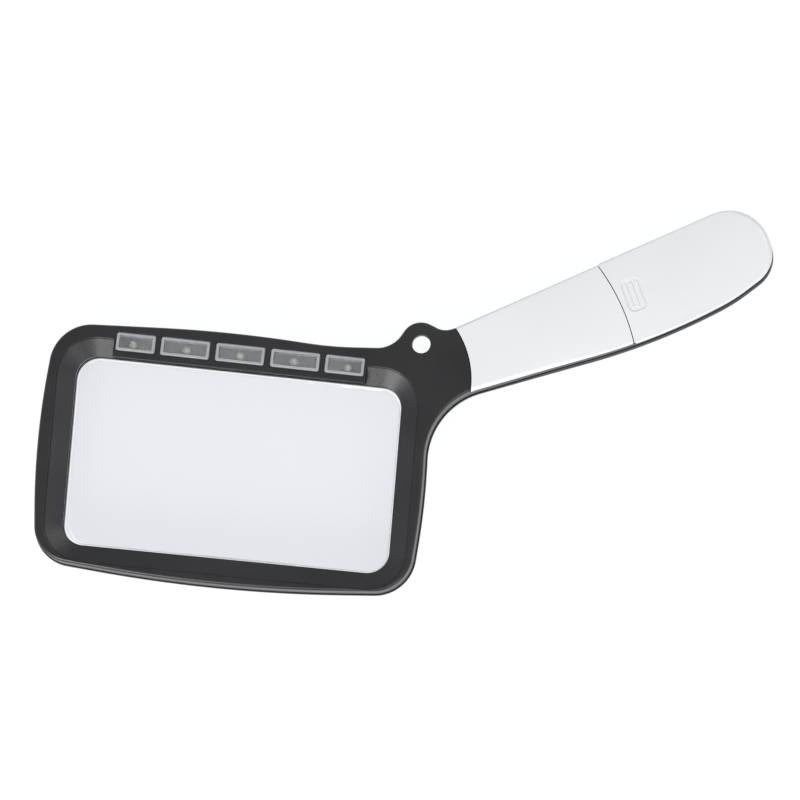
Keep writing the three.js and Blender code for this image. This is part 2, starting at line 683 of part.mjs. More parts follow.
const finish = {
  black: new THREE.MeshStandardMaterial({ color: 0x1c1c1e, roughness: 0.5, metalness: 0 }),
  pale: new THREE.MeshStandardMaterial({ color: 0xe6e7ea, roughness: 0.3, metalness: 0 }),
  clear: new THREE.MeshStandardMaterial({
    color: 0xeef1f5, roughness: 0.05, metalness: 0, transparent: true, opacity: 0.35,
  }),
  board: new THREE.MeshStandardMaterial({ color: 0xdfe3dc, roughness: 0.5, metalness: 0 }),
  light: new THREE.MeshStandardMaterial({ color: 0xd9dcb4, roughness: 0.2, metalness: 0 }),
  steel: new THREE.MeshStandardMaterial({ color: 0xb9bcc0, roughness: 0.3, metalness: 1 }),
  cell: new THREE.MeshStandardMaterial({ color: 0x3c6e8f, roughness: 0.35, metalness: 0.3 }),
  dark: new THREE.MeshStandardMaterial({ color: 0x2a2b2e, roughness: 0.6, metalness: 0 }),
  red: new THREE.MeshStandardMaterial({ color: 0xa3231f, roughness: 0.5, metalness: 0 }),
  wireBlack: new THREE.MeshStandardMaterial({ color: 0x151515, roughness: 0.5, metalness: 0 }),
};

const magnifier = new THREE.Group();

function add(name, shape, material, place = () => {}) {
  const geometry = shape.isBufferGeometry ? shape : toGeometry(shape);
  const mesh = new THREE.Mesh(geometry, material);
  mesh.name = name;
  place(mesh);
  magnifier.add(mesh);
}

add('back_shell', backShell(), finish.black);
add('front_shell', frontShell(), finish.black);
add('handle_panel', handlePanel(), finish.pale);
add('battery_door', batteryDoor(), finish.pale);
add('magnifying_lens', magnifyingLens(), finish.clear);
add('light_window_strip', lightWindowStrip(), finish.clear);
add('led_board', ledBoard(), finish.board);

[-2, -1, 0, 1, 2].forEach((place, i) => {
  const { along, across } = LED_ROW_SHIFT;
  const at = new THREE.Vector2(place * LED_PITCH + along, across)
    .rotateAround(new THREE.Vector2(), BAR_TURN);
  add(`led_${i + 1}`, led(), finish.light, (mesh) => {
    mesh.position.set(BAR_X + at.x, BAR_Y + at.y, BOARD_HIGH_Z + SEAT_GAP);
  });
});

add('current_resistor', barBlock(
  LED_PITCH / 2, 0.7, 3.2, 1.6, BOARD_HIGH_Z + SEAT_GAP, BOARD_HIGH_Z + 0.7), finish.dark);

// Cell 1 has its button towards the neck, cell 2 towards the tip.
const [nearT, farT] = CELL_T;
const cellStart = CONTACT_NEAR_S + CONTACT_THICKNESS + GAP;
const cellEnd = CONTACT_FAR_S - CONTACT_THICKNESS - GAP;
add('battery_1', cell(), finish.cell, (mesh) => {
  mesh.position.set(...onHandle(cellStart + CELL_LENGTH, nearT, CELL_AXIS_Z));
  mesh.rotation.z = HANDLE_TURN + Math.PI;
});
add('battery_2', cell(), finish.cell, (mesh) => {
  mesh.position.set(...onHandle(cellEnd - CELL_LENGTH, farT, CELL_AXIS_Z));
  mesh.rotation.z = HANDLE_TURN;
});

const plate = (s, t0, t1) => (
  handleBlock(s, s + CONTACT_THICKNESS, t0, t1, CELL_AXIS_Z - 3.7, CELL_AXIS_Z + 3.8));
add('positive_plate', plate(
  CONTACT_NEAR_S, nearT - CONTACT_HALF_WIDTH, nearT + CONTACT_HALF_WIDTH), finish.steel);
add('negative_plate', plate(
  CONTACT_NEAR_S, farT - CONTACT_HALF_WIDTH, farT + CONTACT_HALF_WIDTH), finish.steel);
add('link_plate', plate(
  CONTACT_FAR_S - CONTACT_THICKNESS, farT - CONTACT_HALF_WIDTH, nearT + CONTACT_HALF_WIDTH), finish.steel);
add('negative_spring', contactSpring(), finish.steel, (mesh) => {
  mesh.position.set(...onHandle(cellStart - SEAT_GAP, farT, CELL_AXIS_Z));
  mesh.rotation.z = HANDLE_TURN;
});
add('link_spring', contactSpring(), finish.steel, (mesh) => {
  mesh.position.set(...onHandle(cellEnd + SEAT_GAP, nearT, CELL_AXIS_Z));
  mesh.rotation.z = HANDLE_TURN + Math.PI;
});

add('switch_body', switchBody(), finish.dark);
add('switch_slider', switchSlider(), finish.dark);
add('switch_knob', switchKnob(), finish.dark);

const switchPin = (shift) => onHandle(SWITCH_S + 1 + shift, SWITCH_T, 11.1);
add('battery_lead', lead([
  switchPin(2.5),
  onHandle(30, -12, 11.3),
  onHandle(36, -10.5, 10.6),
  onHandle(41, -9.6, 9.6),
  onHandle(45.8, nearT, 9.2),
]), finish.red);
add('switched_lead', lead([
  switchPin(0),
  onHandle(16, -13.4, 11.2),
  onHandle(8, -14.2, 9.4),
  onHandle(0, -14.6, 7.6),
  [63.0, 34.0, 6.8],
  [61.6, 37.2, 6.6],
  [57.6, 37.8, 6.4],
  [52.0, 37.6, 6.2],
  [44.4, 37.2, 6.0],
]), finish.red);
add('return_lead', lead([
  onHandle(45.8, farT, 8.6),
  onHandle(40, -17.0, 8.6),
  onHandle(34, -15.6, 8.4),
  onHandle(28, -16.6, 8.0),
  onHandle(14, -17.2, 7.6),
  onHandle(2, -16.8, 6.0),
  [63.4, 33.0, 4.8],
  [61.6, 37.0, 4.6],
  [57.6, 37.8, 4.4],
  [52.0, 37.2, 4.3],
  [44.4, 36.0, 4.3],
]), finish.wireBlack);

SCREW_CENTRES.forEach(([x, y], i) => {
  add(`housing_screw_${i + 1}`, screw(), finish.steel, (mesh) => {
    mesh.position.set(x, y, SCREW_HEAD_Z);
  });
});

const box = new THREE.Box3().setFromObject(magnifier);
const middle = box.getCenter(new THREE.Vector3());
magnifier.position.set(-middle.x, -middle.y, -box.min.z);

export default magnifier;
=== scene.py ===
"""A lighted page magnifier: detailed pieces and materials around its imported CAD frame.

Shapes are built in design millimetres (lens centre at x = y = 0, viewer-side face at z = 0) and then
moved to the row frame, in metres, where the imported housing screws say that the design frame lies.
"""

import math

import bmesh
import bpy
from mathutils import Matrix, Vector


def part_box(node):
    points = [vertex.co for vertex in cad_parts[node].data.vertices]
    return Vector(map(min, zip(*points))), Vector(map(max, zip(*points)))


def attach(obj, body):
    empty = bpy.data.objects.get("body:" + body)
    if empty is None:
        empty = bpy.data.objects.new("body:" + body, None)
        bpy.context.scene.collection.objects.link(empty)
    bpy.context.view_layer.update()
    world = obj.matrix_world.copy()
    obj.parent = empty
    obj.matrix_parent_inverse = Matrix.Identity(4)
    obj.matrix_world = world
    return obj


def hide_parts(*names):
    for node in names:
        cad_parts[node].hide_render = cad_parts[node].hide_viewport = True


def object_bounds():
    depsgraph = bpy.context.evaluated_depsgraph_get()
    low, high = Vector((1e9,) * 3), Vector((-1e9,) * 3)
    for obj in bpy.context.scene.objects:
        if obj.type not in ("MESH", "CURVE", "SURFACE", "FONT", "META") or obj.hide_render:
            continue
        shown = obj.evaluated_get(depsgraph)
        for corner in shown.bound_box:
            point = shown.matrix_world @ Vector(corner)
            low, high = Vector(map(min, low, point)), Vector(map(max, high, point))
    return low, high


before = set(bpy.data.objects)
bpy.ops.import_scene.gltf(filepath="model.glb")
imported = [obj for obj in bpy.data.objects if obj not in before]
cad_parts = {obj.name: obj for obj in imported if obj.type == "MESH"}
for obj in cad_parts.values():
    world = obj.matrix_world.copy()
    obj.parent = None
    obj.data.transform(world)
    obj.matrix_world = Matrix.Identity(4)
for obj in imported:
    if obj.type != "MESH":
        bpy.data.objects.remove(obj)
CAD_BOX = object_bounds()
scene = bpy.context.scene

# ---- driving dimensions, in millimetres

MM = 0.001
GAP = 0.3  # between pieces that meet
CHORD_ERROR = 0.006  # how far a faceted arc leaves the true arc
LONGEST_EDGE = 3.0

# Corners of the body's outline, counter-clockwise: x, y, rounding radius.
OUTLINE_CORNERS = [
    (-62.4, 41.4, 14.2),  # frame, far upper corner
    (-65.5, 1.9, 255),  # frame, far side
    (-61.4, -36.6, 12.5),  # frame, far lower corner
    (0, -41.6, 490),  # frame, lower side
    (61.8, -36.4, 13.2),  # frame, near lower corner
    (63.8, -6.0, 225),  # frame, near side
    (62.1, 25.8, 24.3),  # hollow below the neck
    (99.7, 40.5, 300),  # handle, lower side
    (134.5, 53.9, 215),  # handle, belly
    (158.7, 69.6, 59.5),  # handle, towards the tip
    (172.5, 82.4, 11.3),  # handle tip, lower
    (161.3, 104.0, 13.8),  # handle tip, upper
    (65.4, 50.1, 6.4),  # notch between handle and lug
    (61.9, 51.7, 6.7),  # lanyard lug
    (54.9, 54.4, 6.9),  # lanyard lug
    (48.7, 43.3, 9.4),  # hollow below the lug
    (28.5, 41.9, 120),  # frame, upper side
    (-4.8, 43.9, 445),  # frame, upper side
]
OPENING_RADIUS = 7.2
OPENING_UNDERCUT = 0.45
OPENING_CORNERS = [
    (-54.6, 31.6, OPENING_RADIUS),
    (-53.3, -30.9, OPENING_RADIUS),
    (54.5, -31.0, OPENING_RADIUS),
    (53.4, 30.3, OPENING_RADIUS),
]

FRAME_THICKNESS = 17
PARTING_Z = 8.5
HANDLE_BOTTOM_Z = 1.0
HANDLE_TOP_Z = 18.4
HANDLE_CROWN = 0.9
CROWN_MIDDLE_T = -13
CROWN_HALF_WIDTH = 15
FRAME_ROLL = 1.3  # height of the rounding along the upper edge
HANDLE_ROLL = 1.7
HANDLE_ROLL_INSET = 2.4
ROLL_STEPS = 12
COVER_Z = 14.2
TIP_FALL = 1.0
TIP_FALL_START_S = 70
TIP_FALL_END_S = 118
NECK_START_S = -2
NECK_END_S = 34

BEVEL_WIDTH = 5.6
BEVEL_LOW_Z = 13.0
BEVEL_HIGH_Z = 16.3
WALL = 2.2
SKIN = 1.9
FLOOR = 2.0

LENS_FLANGE_LOW_Z = 6.0
LENS_FLANGE_HIGH_Z = 8.4
LENS_FLANGE_REACH = 1.2
LENS_MARGIN = 0.75
LENS_LIP_SETBACK = 0.4  # from the opening's edge to the lip under the flange
LENS_RISE = 4.5
LENS_HALF_DIAGONAL = 61.5

BAR_MIDDLE = Vector((-0.7, 36.3))
BAR_TURN = math.radians(-0.75)
WINDOW_CENTRES = [-34.6, -18.2, 0, 18.2, 34.6]
WINDOW_LENGTH = 16.6
END_WINDOW_LENGTH = 13.4
WINDOW_WIDTH = 6.5
PLATEAU_HALF_LENGTH = 41.8
STRIP_HALF_LENGTH = 40.6
PLATEAU_UNDERCUT = 0.9
WINDOW_BORDER = 1.15  # solid edge of each pad around its pocket
POCKET_ROOF = 1.7  # from the pad's top down to the pocket's top
PAD_FACE_SUNK = 0.15  # the clear face within its frosted border
STRIP_WIDTH = 6.6
STRIP_LOW_Z = 12.8
STRIP_HIGH_Z = 14.3
STRIP_SEAT_WIDTH = 7.1
STRIP_SEAT_HIGH_Z = 14.6
LED_PITCH = 17.85
LED_ROW_SHIFT = (-0.4, -0.25)  # along and across the bar
LED_RADIUS = 1.5
LED_FLANGE_RADIUS = 1.7
LED_FLANGE_HEIGHT = 0.9
LED_BARREL_HEIGHT = 3.0
LED_HEIGHT = 5.35
BOARD_HIGH_Z = 6.8

LUG_HOLE = Vector((58.2, 45.2))
LUG_HOLE_RADIUS = 3.0
LUG_MOUTH_RADIUS = 4.3
LUG_FLARE_Z = 13.0
LUG_RELIEF = Vector((56.0, 51.2))
LUG_RELIEF_RADIUS = 9.5
LUG_RELIEF_WALL = 1.9

HANDLE_ORIGIN = Vector((65.55, 50.13))
HANDLE_TURN = math.radians(29.4)
NECK_ARC = (45.8, 32.3, 30.1)
SEAM_ARC = (60.6, 28.9, 70.9)
SEAM_WIDTH = 0.3
SEAM_NICK_RADIUS = 0.6
COVER_EDGE_BEVEL = 0.09
DOOR_TRAVEL = 12
RUNNER_S = 60
RUNNER_LOW_Z = 6.0
GRIP_S = 61.3
GRIP_T = -14.3
GRIP_LENGTH = 6.2
GRIP_WIDTH = 10.8
GRIP_DEPTH = 0.4
GRIP_TURN = HANDLE_TURN - 0.07
GRIP_RIB_PITCH = 1.9
GRIP_RIB_LENGTH = 1.1

CELL_RADIUS = 5.25
CELL_LENGTH = 44.5
CELL_AXIS_Z = 8.8
CELL_T = (-9.15, -20.05)
CONTACT_NEAR_S = 48.6
CONTACT_FAR_S = 98.0
CONTACT_THICKNESS = 0.4
CELLS_NEAR_S = CONTACT_NEAR_S + CONTACT_THICKNESS + GAP
CELLS_FAR_S = CONTACT_FAR_S - CONTACT_THICKNESS - GAP
SPRING_LENGTH = 3.2
SPRING_WIRE_RADIUS = 0.3
SPRING_TURNS = 3.5
WIRE_RADIUS = 0.65

SWITCH_S = 22
SWITCH_T = -12.5
SWITCH_TRAVEL = 2.0
SWITCH_MIDDLE_S = SWITCH_S + SWITCH_TRAVEL / 2
SWITCH_RECESS = (13.2, 8)  # length and width, as in the next two
SWITCH_SLOT = (6.4, 3.4)
KNOB = (8.4, 6)
KNOB_RIB_SHIFTS = (-2.4, -0.8, 0.8, 2.4)

SCREW_CENTRES = [(-56.3, 33.3), (-17, -35.7), (17, -35.7), (56.5, 33.4)]
SCREW_HEAD_RADIUS = 1.9
COUNTERBORE_RADIUS = 2.3
SCREW_HEAD_Z = 1.2
SCREW_HEAD_HEIGHT = 1.6
SCREW_SHANK_RADIUS = 1.1
SCREW_LENGTH = 11.2
SCREW_CLEARANCE_RADIUS = 1.4
FRONT_BOSS_RADIUS = 2.6
FRONT_BOSS_BORE_RADIUS = 1.3
BACK_BOSS_RADIUS = 3.1

SKY = 40  # beyond every piece in height, for cutters
WIDE = 300  # beyond every piece across

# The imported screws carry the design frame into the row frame.
screw_low, screw_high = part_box("housing_screw_1")
SHIFT = Vector((
    (screw_low.x + screw_high.x) / 2 - SCREW_CENTRES[0][0] * MM,
    (screw_low.y + screw_high.y) / 2 - SCREW_CENTRES[0][1] * MM,
    screw_low.z - SCREW_HEAD_Z * MM,
))
TO_ROW = Matrix.Translation(SHIFT) @ Matrix.Scale(MM, 4)


def blend(a, b, share):
    return a + (b - a) * share


def smoothstep(x, low, high):
    u = min(max((x - low) / (high - low), 0), 1)
    return u * u * (3 - 2 * u)


# ---- outlines


def rounded_loop(corners, fineness=CHORD_ERROR, longest=LONGEST_EDGE):
    """A polygon with rounded corners, as (point, outward direction) pairs in the order of the corners."""
    arcs = []
    for i, (x, y, radius) in enumerate(corners):
        corner = Vector((x, y))
        before = (Vector(corners[i - 1][:2]) - corner).normalized()
        after = (Vector(corners[(i + 1) % len(corners)][:2]) - corner).normalized()
        half = math.acos(before.dot(after)) / 2
        centre = corner + (before + after).normalized() * (radius / math.sin(half))
        first = corner + before * (radius / math.tan(half)) - centre
        last = corner + after * (radius / math.tan(half)) - centre
        start = math.atan2(first.y, first.x)
        sweep = math.remainder(math.atan2(last.y, last.x) - start, 2 * math.pi)
        side = math.copysign(1, sweep)
        count = max(1, math.ceil(abs(sweep) / (2 * math.acos(1 - fineness / radius))))
        count = max(count, math.ceil(abs(sweep) * radius / longest))
        arc = []
        for k in range(count + 1):
            angle = start + sweep * k / count
            ray = Vector((math.cos(angle), math.sin(angle)))
            arc.append((centre + ray * radius, ray * side))
        arcs.append(arc)
    loop = []
    for arc, following in zip(arcs, arcs[1:] + arcs[:1]):
        loop += arc
        (end, outward), (start, _) = arc[-1], following[0]
        length = (start - end).length
        pieces = math.ceil(length / longest)
        loop += [(end.lerp(start, k / pieces), outward) for k in range(1, pieces)]
        if length < 0.02:
            loop.pop()
    return loop


def rectangle(middle, length, width, radius, turn=0.0):
    """A rounded rectangle as a loop."""
    corners = []
    for along, across in ((1, 1), (-1, 1), (-1, -1), (1, -1)):
        at = Vector((along * length / 2, across * width / 2))
        at.rotate(Matrix.Rotation(turn, 2))
        corners.append((middle.x + at.x, middle.y + at.y, radius))
    return rounded_loop(corners, 0.004, WIDE)


def ring(loop, growth, z):
    """The loop grown outwards, at one height."""
    return [(*(point + outward * growth), z) for point, outward in loop]


OUTLINE = rounded_loop(OUTLINE_CORNERS)
OPENING = rounded_loop(OPENING_CORNERS)


def handle_point(s, t):
    """The design point at s along the handle and t across it."""
    at = Vector((s, t))
    at.rotate(Matrix.Rotation(HANDLE_TURN, 2))
    return at + HANDLE_ORIGIN


def along_handle(point):
    """How far along the handle a point lies."""
    at = Vector(point) - HANDLE_ORIGIN
    at.rotate(Matrix.Rotation(-HANDLE_TURN, 2))
    return at.x


def bar_point(along, across):
    """The design point on the bar of light windows."""
    at = Vector((along, across))
    at.rotate(Matrix.Rotation(BAR_TURN, 2))
    return at + BAR_MIDDLE


def handle_share(s):
    """0 on the frame, 1 on the handle, smooth across the neck."""
    return smoothstep(s, NECK_START_S, NECK_END_S)


def lowest_z(s):
    return HANDLE_BOTTOM_Z * handle_share(s)


def highest_z(s):
    top = blend(FRAME_THICKNESS, HANDLE_TOP_Z, handle_share(s))
    return top - TIP_FALL * smoothstep(s, TIP_FALL_START_S, TIP_FALL_END_S)


def up(height):
    """A height above the body's lower surface, as a function of s."""
    return lambda s: lowest_z(s) + height


def down(depth):
    """A depth below the body's upper surface, as a function of s."""
    return lambda s: highest_z(s) - depth


# ---- solids in design millimetres


def solid(points, faces):
    mesh = bpy.data.meshes.new("shape")
    mesh.from_pydata([tuple(p) for p in points], [], faces)
    obj = bpy.data.objects.new("shape", mesh)
    scene.collection.objects.link(obj)
    return obj


def loft(rings):
    """A closed skin over rings of equal point count, lowest first and counter-clockwise."""
    count = len(rings[0])
    faces = [tuple(reversed(range(count)))]
    for k in range(len(rings) - 1):
        for i in range(count):
            a, b = k * count + i, k * count + (i + 1) % count
            faces.append((a, b, b + count, a + count))
    faces.append(tuple(range((len(rings) - 1) * count, len(rings) * count)))
    return solid([p for r in rings for p in r], faces)


def stack(loop, steps):
    """Rings of one loop: each step is (growth, height)."""
    return loft([ring(loop, growth, z) for growth, z in steps])


def combine(shape, other, operation):
    modifier = shape.modifiers.new("combine", "BOOLEAN")
    modifier.operation = operation
    modifier.object = other
    modifier.solver = "MANIFOLD"
    graph = bpy.context.evaluated_depsgraph_get()
    mesh = bpy.data.meshes.new_from_object(shape.evaluated_get(graph))
    shape.modifiers.clear()
    shape.data = mesh
    bpy.data.objects.remove(other)
    return shape


def cut(shape, *cutters):
    for cutter in cutters:
        combine(shape, cutter, "DIFFERENCE")
    return shape


def join(shape, *others):
    for other in others:
        combine(shape, other, "UNION")
    return shape


def keep(shape, region):
    return combine(shape, region, "INTERSECT")


def body_slab(skin):
    """Everything between the body's lower and upper surface, moved inwards by a skin thickness."""
    s_values = [-WIDE, *range(NECK_START_S, NECK_END_S + 1, 2), *range(40, 131, 3), WIDE]
    t_values = [-WIDE, *range(-34, 9, 2), WIDE]
    count = len(t_values)
    points = []
    for side in (0, 1):
        for s in s_values:
            for t in t_values:
                off_middle = min(abs(t - CROWN_MIDDLE_T) / CROWN_HALF_WIDTH, 1)
                crown = HANDLE_CROWN * handle_share(s) * off_middle ** 2
                z = highest_z(s) - skin - crown if side else lowest_z(s) + skin
                points.append((*handle_point(s, t), z))
    half = len(s_values) * count
    faces = []
    for i in range(len(s_values) - 1):
        for j in range(count - 1):
            a = i * count + j
            low = (a, a + 1, a + count + 1, a + count)
            faces.append(low)
            faces.append(tuple(half + k for k in reversed(low)))
    rim = list(range(count))
    rim += [i * count + count - 1 for i in range(1, len(s_values))]
    rim += [(len(s_values) - 1) * count + j for j in range(count - 2, -1, -1)]
    rim += [i * count for i in range(len(s_values) - 2, 0, -1)]
    for a, b in zip(rim, rim[1:] + rim[:1]):
        faces.append((b, a, half + a, half + b))
    return solid(points, faces)


def body(profile, skin=0.0):
    """Rings of the body's outline, each (frame inset, handle inset, height as a function of s)."""
    rings = []
    for frame_inset, handle_inset, height in profile:
        points = []
        for point, outward in OUTLINE:
            s = along_handle(point)
            moved = point - outward * blend(frame_inset, handle_inset, handle_share(s))
            points.append((moved.x, moved.y, height(along_handle(moved))))
        rings.append(points)
    rings.insert(0, [(x, y, -SKY) for x, y, _ in rings[0]])
    rings.append([(x, y, SKY) for x, y, _ in rings[-1]])
    return keep(loft(rings), body_slab(skin))


def prism(middle, length, width, low, high, radius=0.2, turn=0.0, top_flare=0.0, edge=0.0):
    """An upright rounded block. top_flare opens a cutter's mouth at its top; edge eases a block's top."""
    steps = [(0, low)]
    if top_flare:
        steps += [(0, high - top_flare), (top_flare * 0.3, high - top_flare * 0.3)]
        steps += [(top_flare, high + 0.02), (top_flare, SKY)]
    elif edge:
        steps += [(0, high - edge), (-edge * 0.3, high - edge * 0.3), (-edge, high)]
    else:
        steps += [(0, high)]
    return stack(rectangle(middle, length, width, radius, turn), steps)


def handle_block(s0, s1, t0, t1, low, high, **options):
    middle = handle_point((s0 + s1) / 2, (t0 + t1) / 2)
    return prism(middle, s1 - s0, t1 - t0, low, high, turn=HANDLE_TURN, **options)


def bar_block(along, across, length, width, low, high, **options):
    return prism(bar_point(along, across), length, width, low, high, turn=BAR_TURN, **options)


def half_space(z, upwards):
    low, high = (z, z + 2 * SKY) if upwards else (z - 2 * SKY, z)
    return prism(Vector((0, 0)), 2 * WIDE, 2 * WIDE, low, high)


def circle(centre, radius, segments=64):
    loop = []
    for k in range(segments):
        angle = 2 * math.pi * k / segments
        ray = Vector((math.cos(angle), math.sin(angle)))
        loop.append((Vector(centre) + ray * radius, ray))
    return loop


def post(centre, radius, low, high, segments=48):
    return stack(circle(centre, radius, segments), [(0, low), (0, high)])


def past_arc(arc, from_s, low=-SKY, high=SKY):
    """Everything on the handle's far side of an arc."""
    x, y, radius = arc
    region = handle_block(from_s, 130, -60, 40, low, high)
    return cut(region, post((x, y), radius, low - 1, high + 1, 240))


def inside_arc(arc):
    """Everything on an arc's near side, less the seam."""
    x, y, radius = arc
    return post((x, y), radius - SEAM_WIDTH, -SKY, SKY, 240)


def turned(profile, segments=48):
    """A solid of revolution about Z from (radius, height) points that start and end on the axis."""
    points = [(0, 0, profile[0][1])]
    rows = profile[1:-1]
    for r, z in rows:
        for k in range(segments):
            angle = 2 * math.pi * k / segments
            points.append((r * math.cos(angle), r * math.sin(angle), z))
    points.append((0, 0, profile[-1][1]))
    faces = []
    for k in range(segments):
        n = (k + 1) % segments
        faces.append((0, 1 + n, 1 + k))
        for row in range(len(rows) - 1):
            a, b = 1 + row * segments + k, 1 + row * segments + n
            faces.append((a, b, b + segments, a + segments))
        last = 1 + (len(rows) - 1) * segments
        faces.append((last + k, last + n, len(points) - 1))
    return solid(points, faces)


def eased(corners, radius, steps=3):
    """A turned profile whose inner corners are rounded."""
    made = [corners[0]]
    for before, corner, after in zip(corners, corners[1:], corners[2:]):
        b, c, a = Vector(before), Vector(corner), Vector(after)
        reach = min(radius, (b - c).length / 2.2, (a - c).length / 2.2)
        start = c + (b - c).normalized() * reach
        end = c + (a - c).normalized() * reach
        for k in range(steps + 1):
            u = k / steps
            made.append(tuple(start * (1 - u) ** 2 + c * 2 * u * (1 - u) + end * u * u))
    made.append(corners[-1])
    return made


def place(shape, matrix):
    shape.data.transform(matrix)
    return shape


def tube(points, radius, sides):
    """A round wire along design points, with parallel-transported sections."""
    points = [Vector(p) for p in points]
    tangents = [(b - a).normalized() for a, b in zip(points[:1] + points, points[1:] + points[-1:])]
    tangents[0] = (points[1] - points[0]).normalized()
    tangents[-1] = (points[-1] - points[-2]).normalized()
    normal = tangents[0].orthogonal().normalized()
    rings = []
    for at, tangent in zip(points, tangents):
        normal = (normal - tangent * normal.dot(tangent)).normalized()
        side = tangent.cross(normal)
        rings.append([
            tuple(at + (normal * math.cos(a) + side * math.sin(a)) * radius)
            for a in (2 * math.pi * k / sides for k in range(sides))
        ])
    return loft(rings)


def smooth_path(points, per_span=8):
    """A Catmull-Rom curve through given points."""
    points = [Vector(p) for p in points]
    ends = [points[0] * 2 - points[1], *points, points[-1] * 2 - points[-2]]
    path = []
    for p0, p1, p2, p3 in zip(ends, ends[1:], ends[2:], ends[3:]):
        for k in range(per_span):
            u = k / per_span
            path.append(
                0.5 * (2 * p1 + (p2 - p0) * u + (2 * p0 - 5 * p1 + 4 * p2 - p3) * u ** 2
                       + (3 * p1 - p0 - 3 * p2 + p3) * u ** 3))
    path.append(points[-1])
    return path


# ---- materials

# Most of a noise lies between these two values.
NOISE_LOW = 0.3
NOISE_HIGH = 0.7


def scaled(colour, factor):
    return tuple(channel * factor for channel in colour)


class Look:
    """A node material with one Principled shader, and short calls to add patterns to it."""

    def __init__(self, name, **sockets):
        self.material = bpy.data.materials.new(name)
        self.material.use_nodes = True
        self.nodes = self.material.node_tree.nodes
        self.links = self.material.node_tree.links
        self.shader = next(n for n in self.nodes if n.type == "BSDF_PRINCIPLED")
        self.output = next(n for n in self.nodes if n.type == "OUTPUT_MATERIAL")
        self.coordinates = self.nodes.new("ShaderNodeTexCoord").outputs["Object"]
        self.fill(self.shader, sockets)

    def fill(self, node, sockets):
        """Sets a node's sockets, whose names have _ for a space."""
        for socket, value in sockets.items():
            node.inputs[socket.replace("_", " ")].default_value = value

    def add(self, kind, **sockets):
        node = self.nodes.new(kind)
        self.fill(node, sockets)
        return node

    def noise(self, size, detail=2, stretch=(1, 1, 1)):
        """Noise whose features are about size metres across."""
        mapping = self.add("ShaderNodeMapping", Scale=stretch)
        self.links.new(self.coordinates, mapping.inputs["Vector"])
        noise = self.add("ShaderNodeTexNoise", Scale=1 / size, Detail=detail)
        self.links.new(mapping.outputs["Vector"], noise.inputs["Vector"])
        return noise.outputs["Fac"]

    def grain(self, size):
        """Rounded grains of about size metres, as a moulded or etched skin has."""
        cells = self.add("ShaderNodeTexVoronoi", Scale=1 / size)
        cells.feature = "SMOOTH_F1"
        self.links.new(self.coordinates, cells.inputs["Vector"])
        return cells.outputs["Distance"]

    def span(self, value, low, high, to_low, to_high):
        node = self.add(
            "ShaderNodeMapRange", From_Min=low, From_Max=high, To_Min=to_low, To_Max=to_high)
        self.links.new(value, node.inputs["Value"])
        return node.outputs["Result"]

    def feed(self, socket, value):
        self.links.new(value, self.shader.inputs[socket])

    def tones(self, value, first, last):
        """Base colour from one tone to another over a noise."""
        ramp = self.nodes.new("ShaderNodeValToRGB")
        stops = zip(ramp.color_ramp.elements, (NOISE_LOW, NOISE_HIGH), (first, last))
        for element, at, colour in stops:
            element.position = at
            element.color = (*colour, 1)
        self.links.new(value, ramp.inputs["Fac"])
        self.feed("Base Color", ramp.outputs["Color"])

    def roughness(self, value, first, last, low=NOISE_LOW, high=NOISE_HIGH):
        """Roughness from one number to another over a noise."""
        self.feed("Roughness", self.span(value, low, high, first, last))

    def bump(self, *layers):
        """Layers of (height, depth in metres), summed by chaining bumps."""
        normal = None
        for height, depth in layers:
            node = self.add("ShaderNodeBump", Distance=depth, Strength=1.0)
            self.links.new(height, node.inputs["Height"])
            if normal is not None:
                self.links.new(normal, node.inputs["Normal"])
            normal = node.outputs["Normal"]
        self.feed("Normal", normal)

    def lets_lamps_through(self, tint):
        """Makes clear plastic dim the lamps a little, where it would cast a solid shadow."""
        path = self.nodes.new("ShaderNodeLightPath")
        clear = self.add("ShaderNodeBsdfTransparent", Color=(*tint, 1))
        mix = self.nodes.new("ShaderNodeMixShader")
        self.links.new(path.outputs["Is Shadow Ray"], mix.inputs["Fac"])
        self.links.new(self.shader.outputs["BSDF"], mix.inputs[1])
        self.links.new(clear.outputs["BSDF"], mix.inputs[2])
        self.links.new(mix.outputs["Shader"], self.output.inputs["Surface"])


def black_plastic(name, colour, roughness, grain_size, grain_depth):
    look = Look(name, IOR=1.5)
    cloud = look.noise(0.018, 3)
    look.tones(cloud, scaled(colour, 0.82), scaled(colour, 1.2))
    look.roughness(cloud, roughness - 0.03, roughness + 0.04)
    look.bump((look.noise(0.006), 0.00001), (look.grain(grain_size), grain_depth))
    return look.material


def pale_plastic(name, colour):
    look = Look(name, IOR=1.5, Coat_Weight=0.25, Coat_Roughness=0.12)
    cloud = look.noise(0.03, 3)
    look.tones(cloud, scaled(colour, 0.985), scaled(colour, 1.01))
    look.roughness(cloud, 0.30, 0.37)
    look.bump((look.noise(0.012, 1), 0.00003), (look.noise(0.0005), 0.000003))
    return look.material


def clear_acrylic(name, tint):
    look = Look(name, Base_Color=(*tint, 1), IOR=1.49, Transmission_Weight=1.0)
    look.roughness(look.noise(0.02, 3), 0.0, 0.02, 0.35, 0.75)
    look.bump((look.noise(0.05, 1), 0.00001))
    look.lets_lamps_through((0.93, 0.94, 0.96))
    return look.material


def window_plastic(name, tones, transmission, roughness):
    look = Look(name, IOR=1.49, Transmission_Weight=transmission)
    look.tones(look.noise(0.004), *tones)
    look.roughness(look.noise(0.002, 3), *roughness)
    look.bump((look.noise(0.0015), 0.000006))
    look.lets_lamps_through((0.92, 0.93, 0.94))
    return look.material


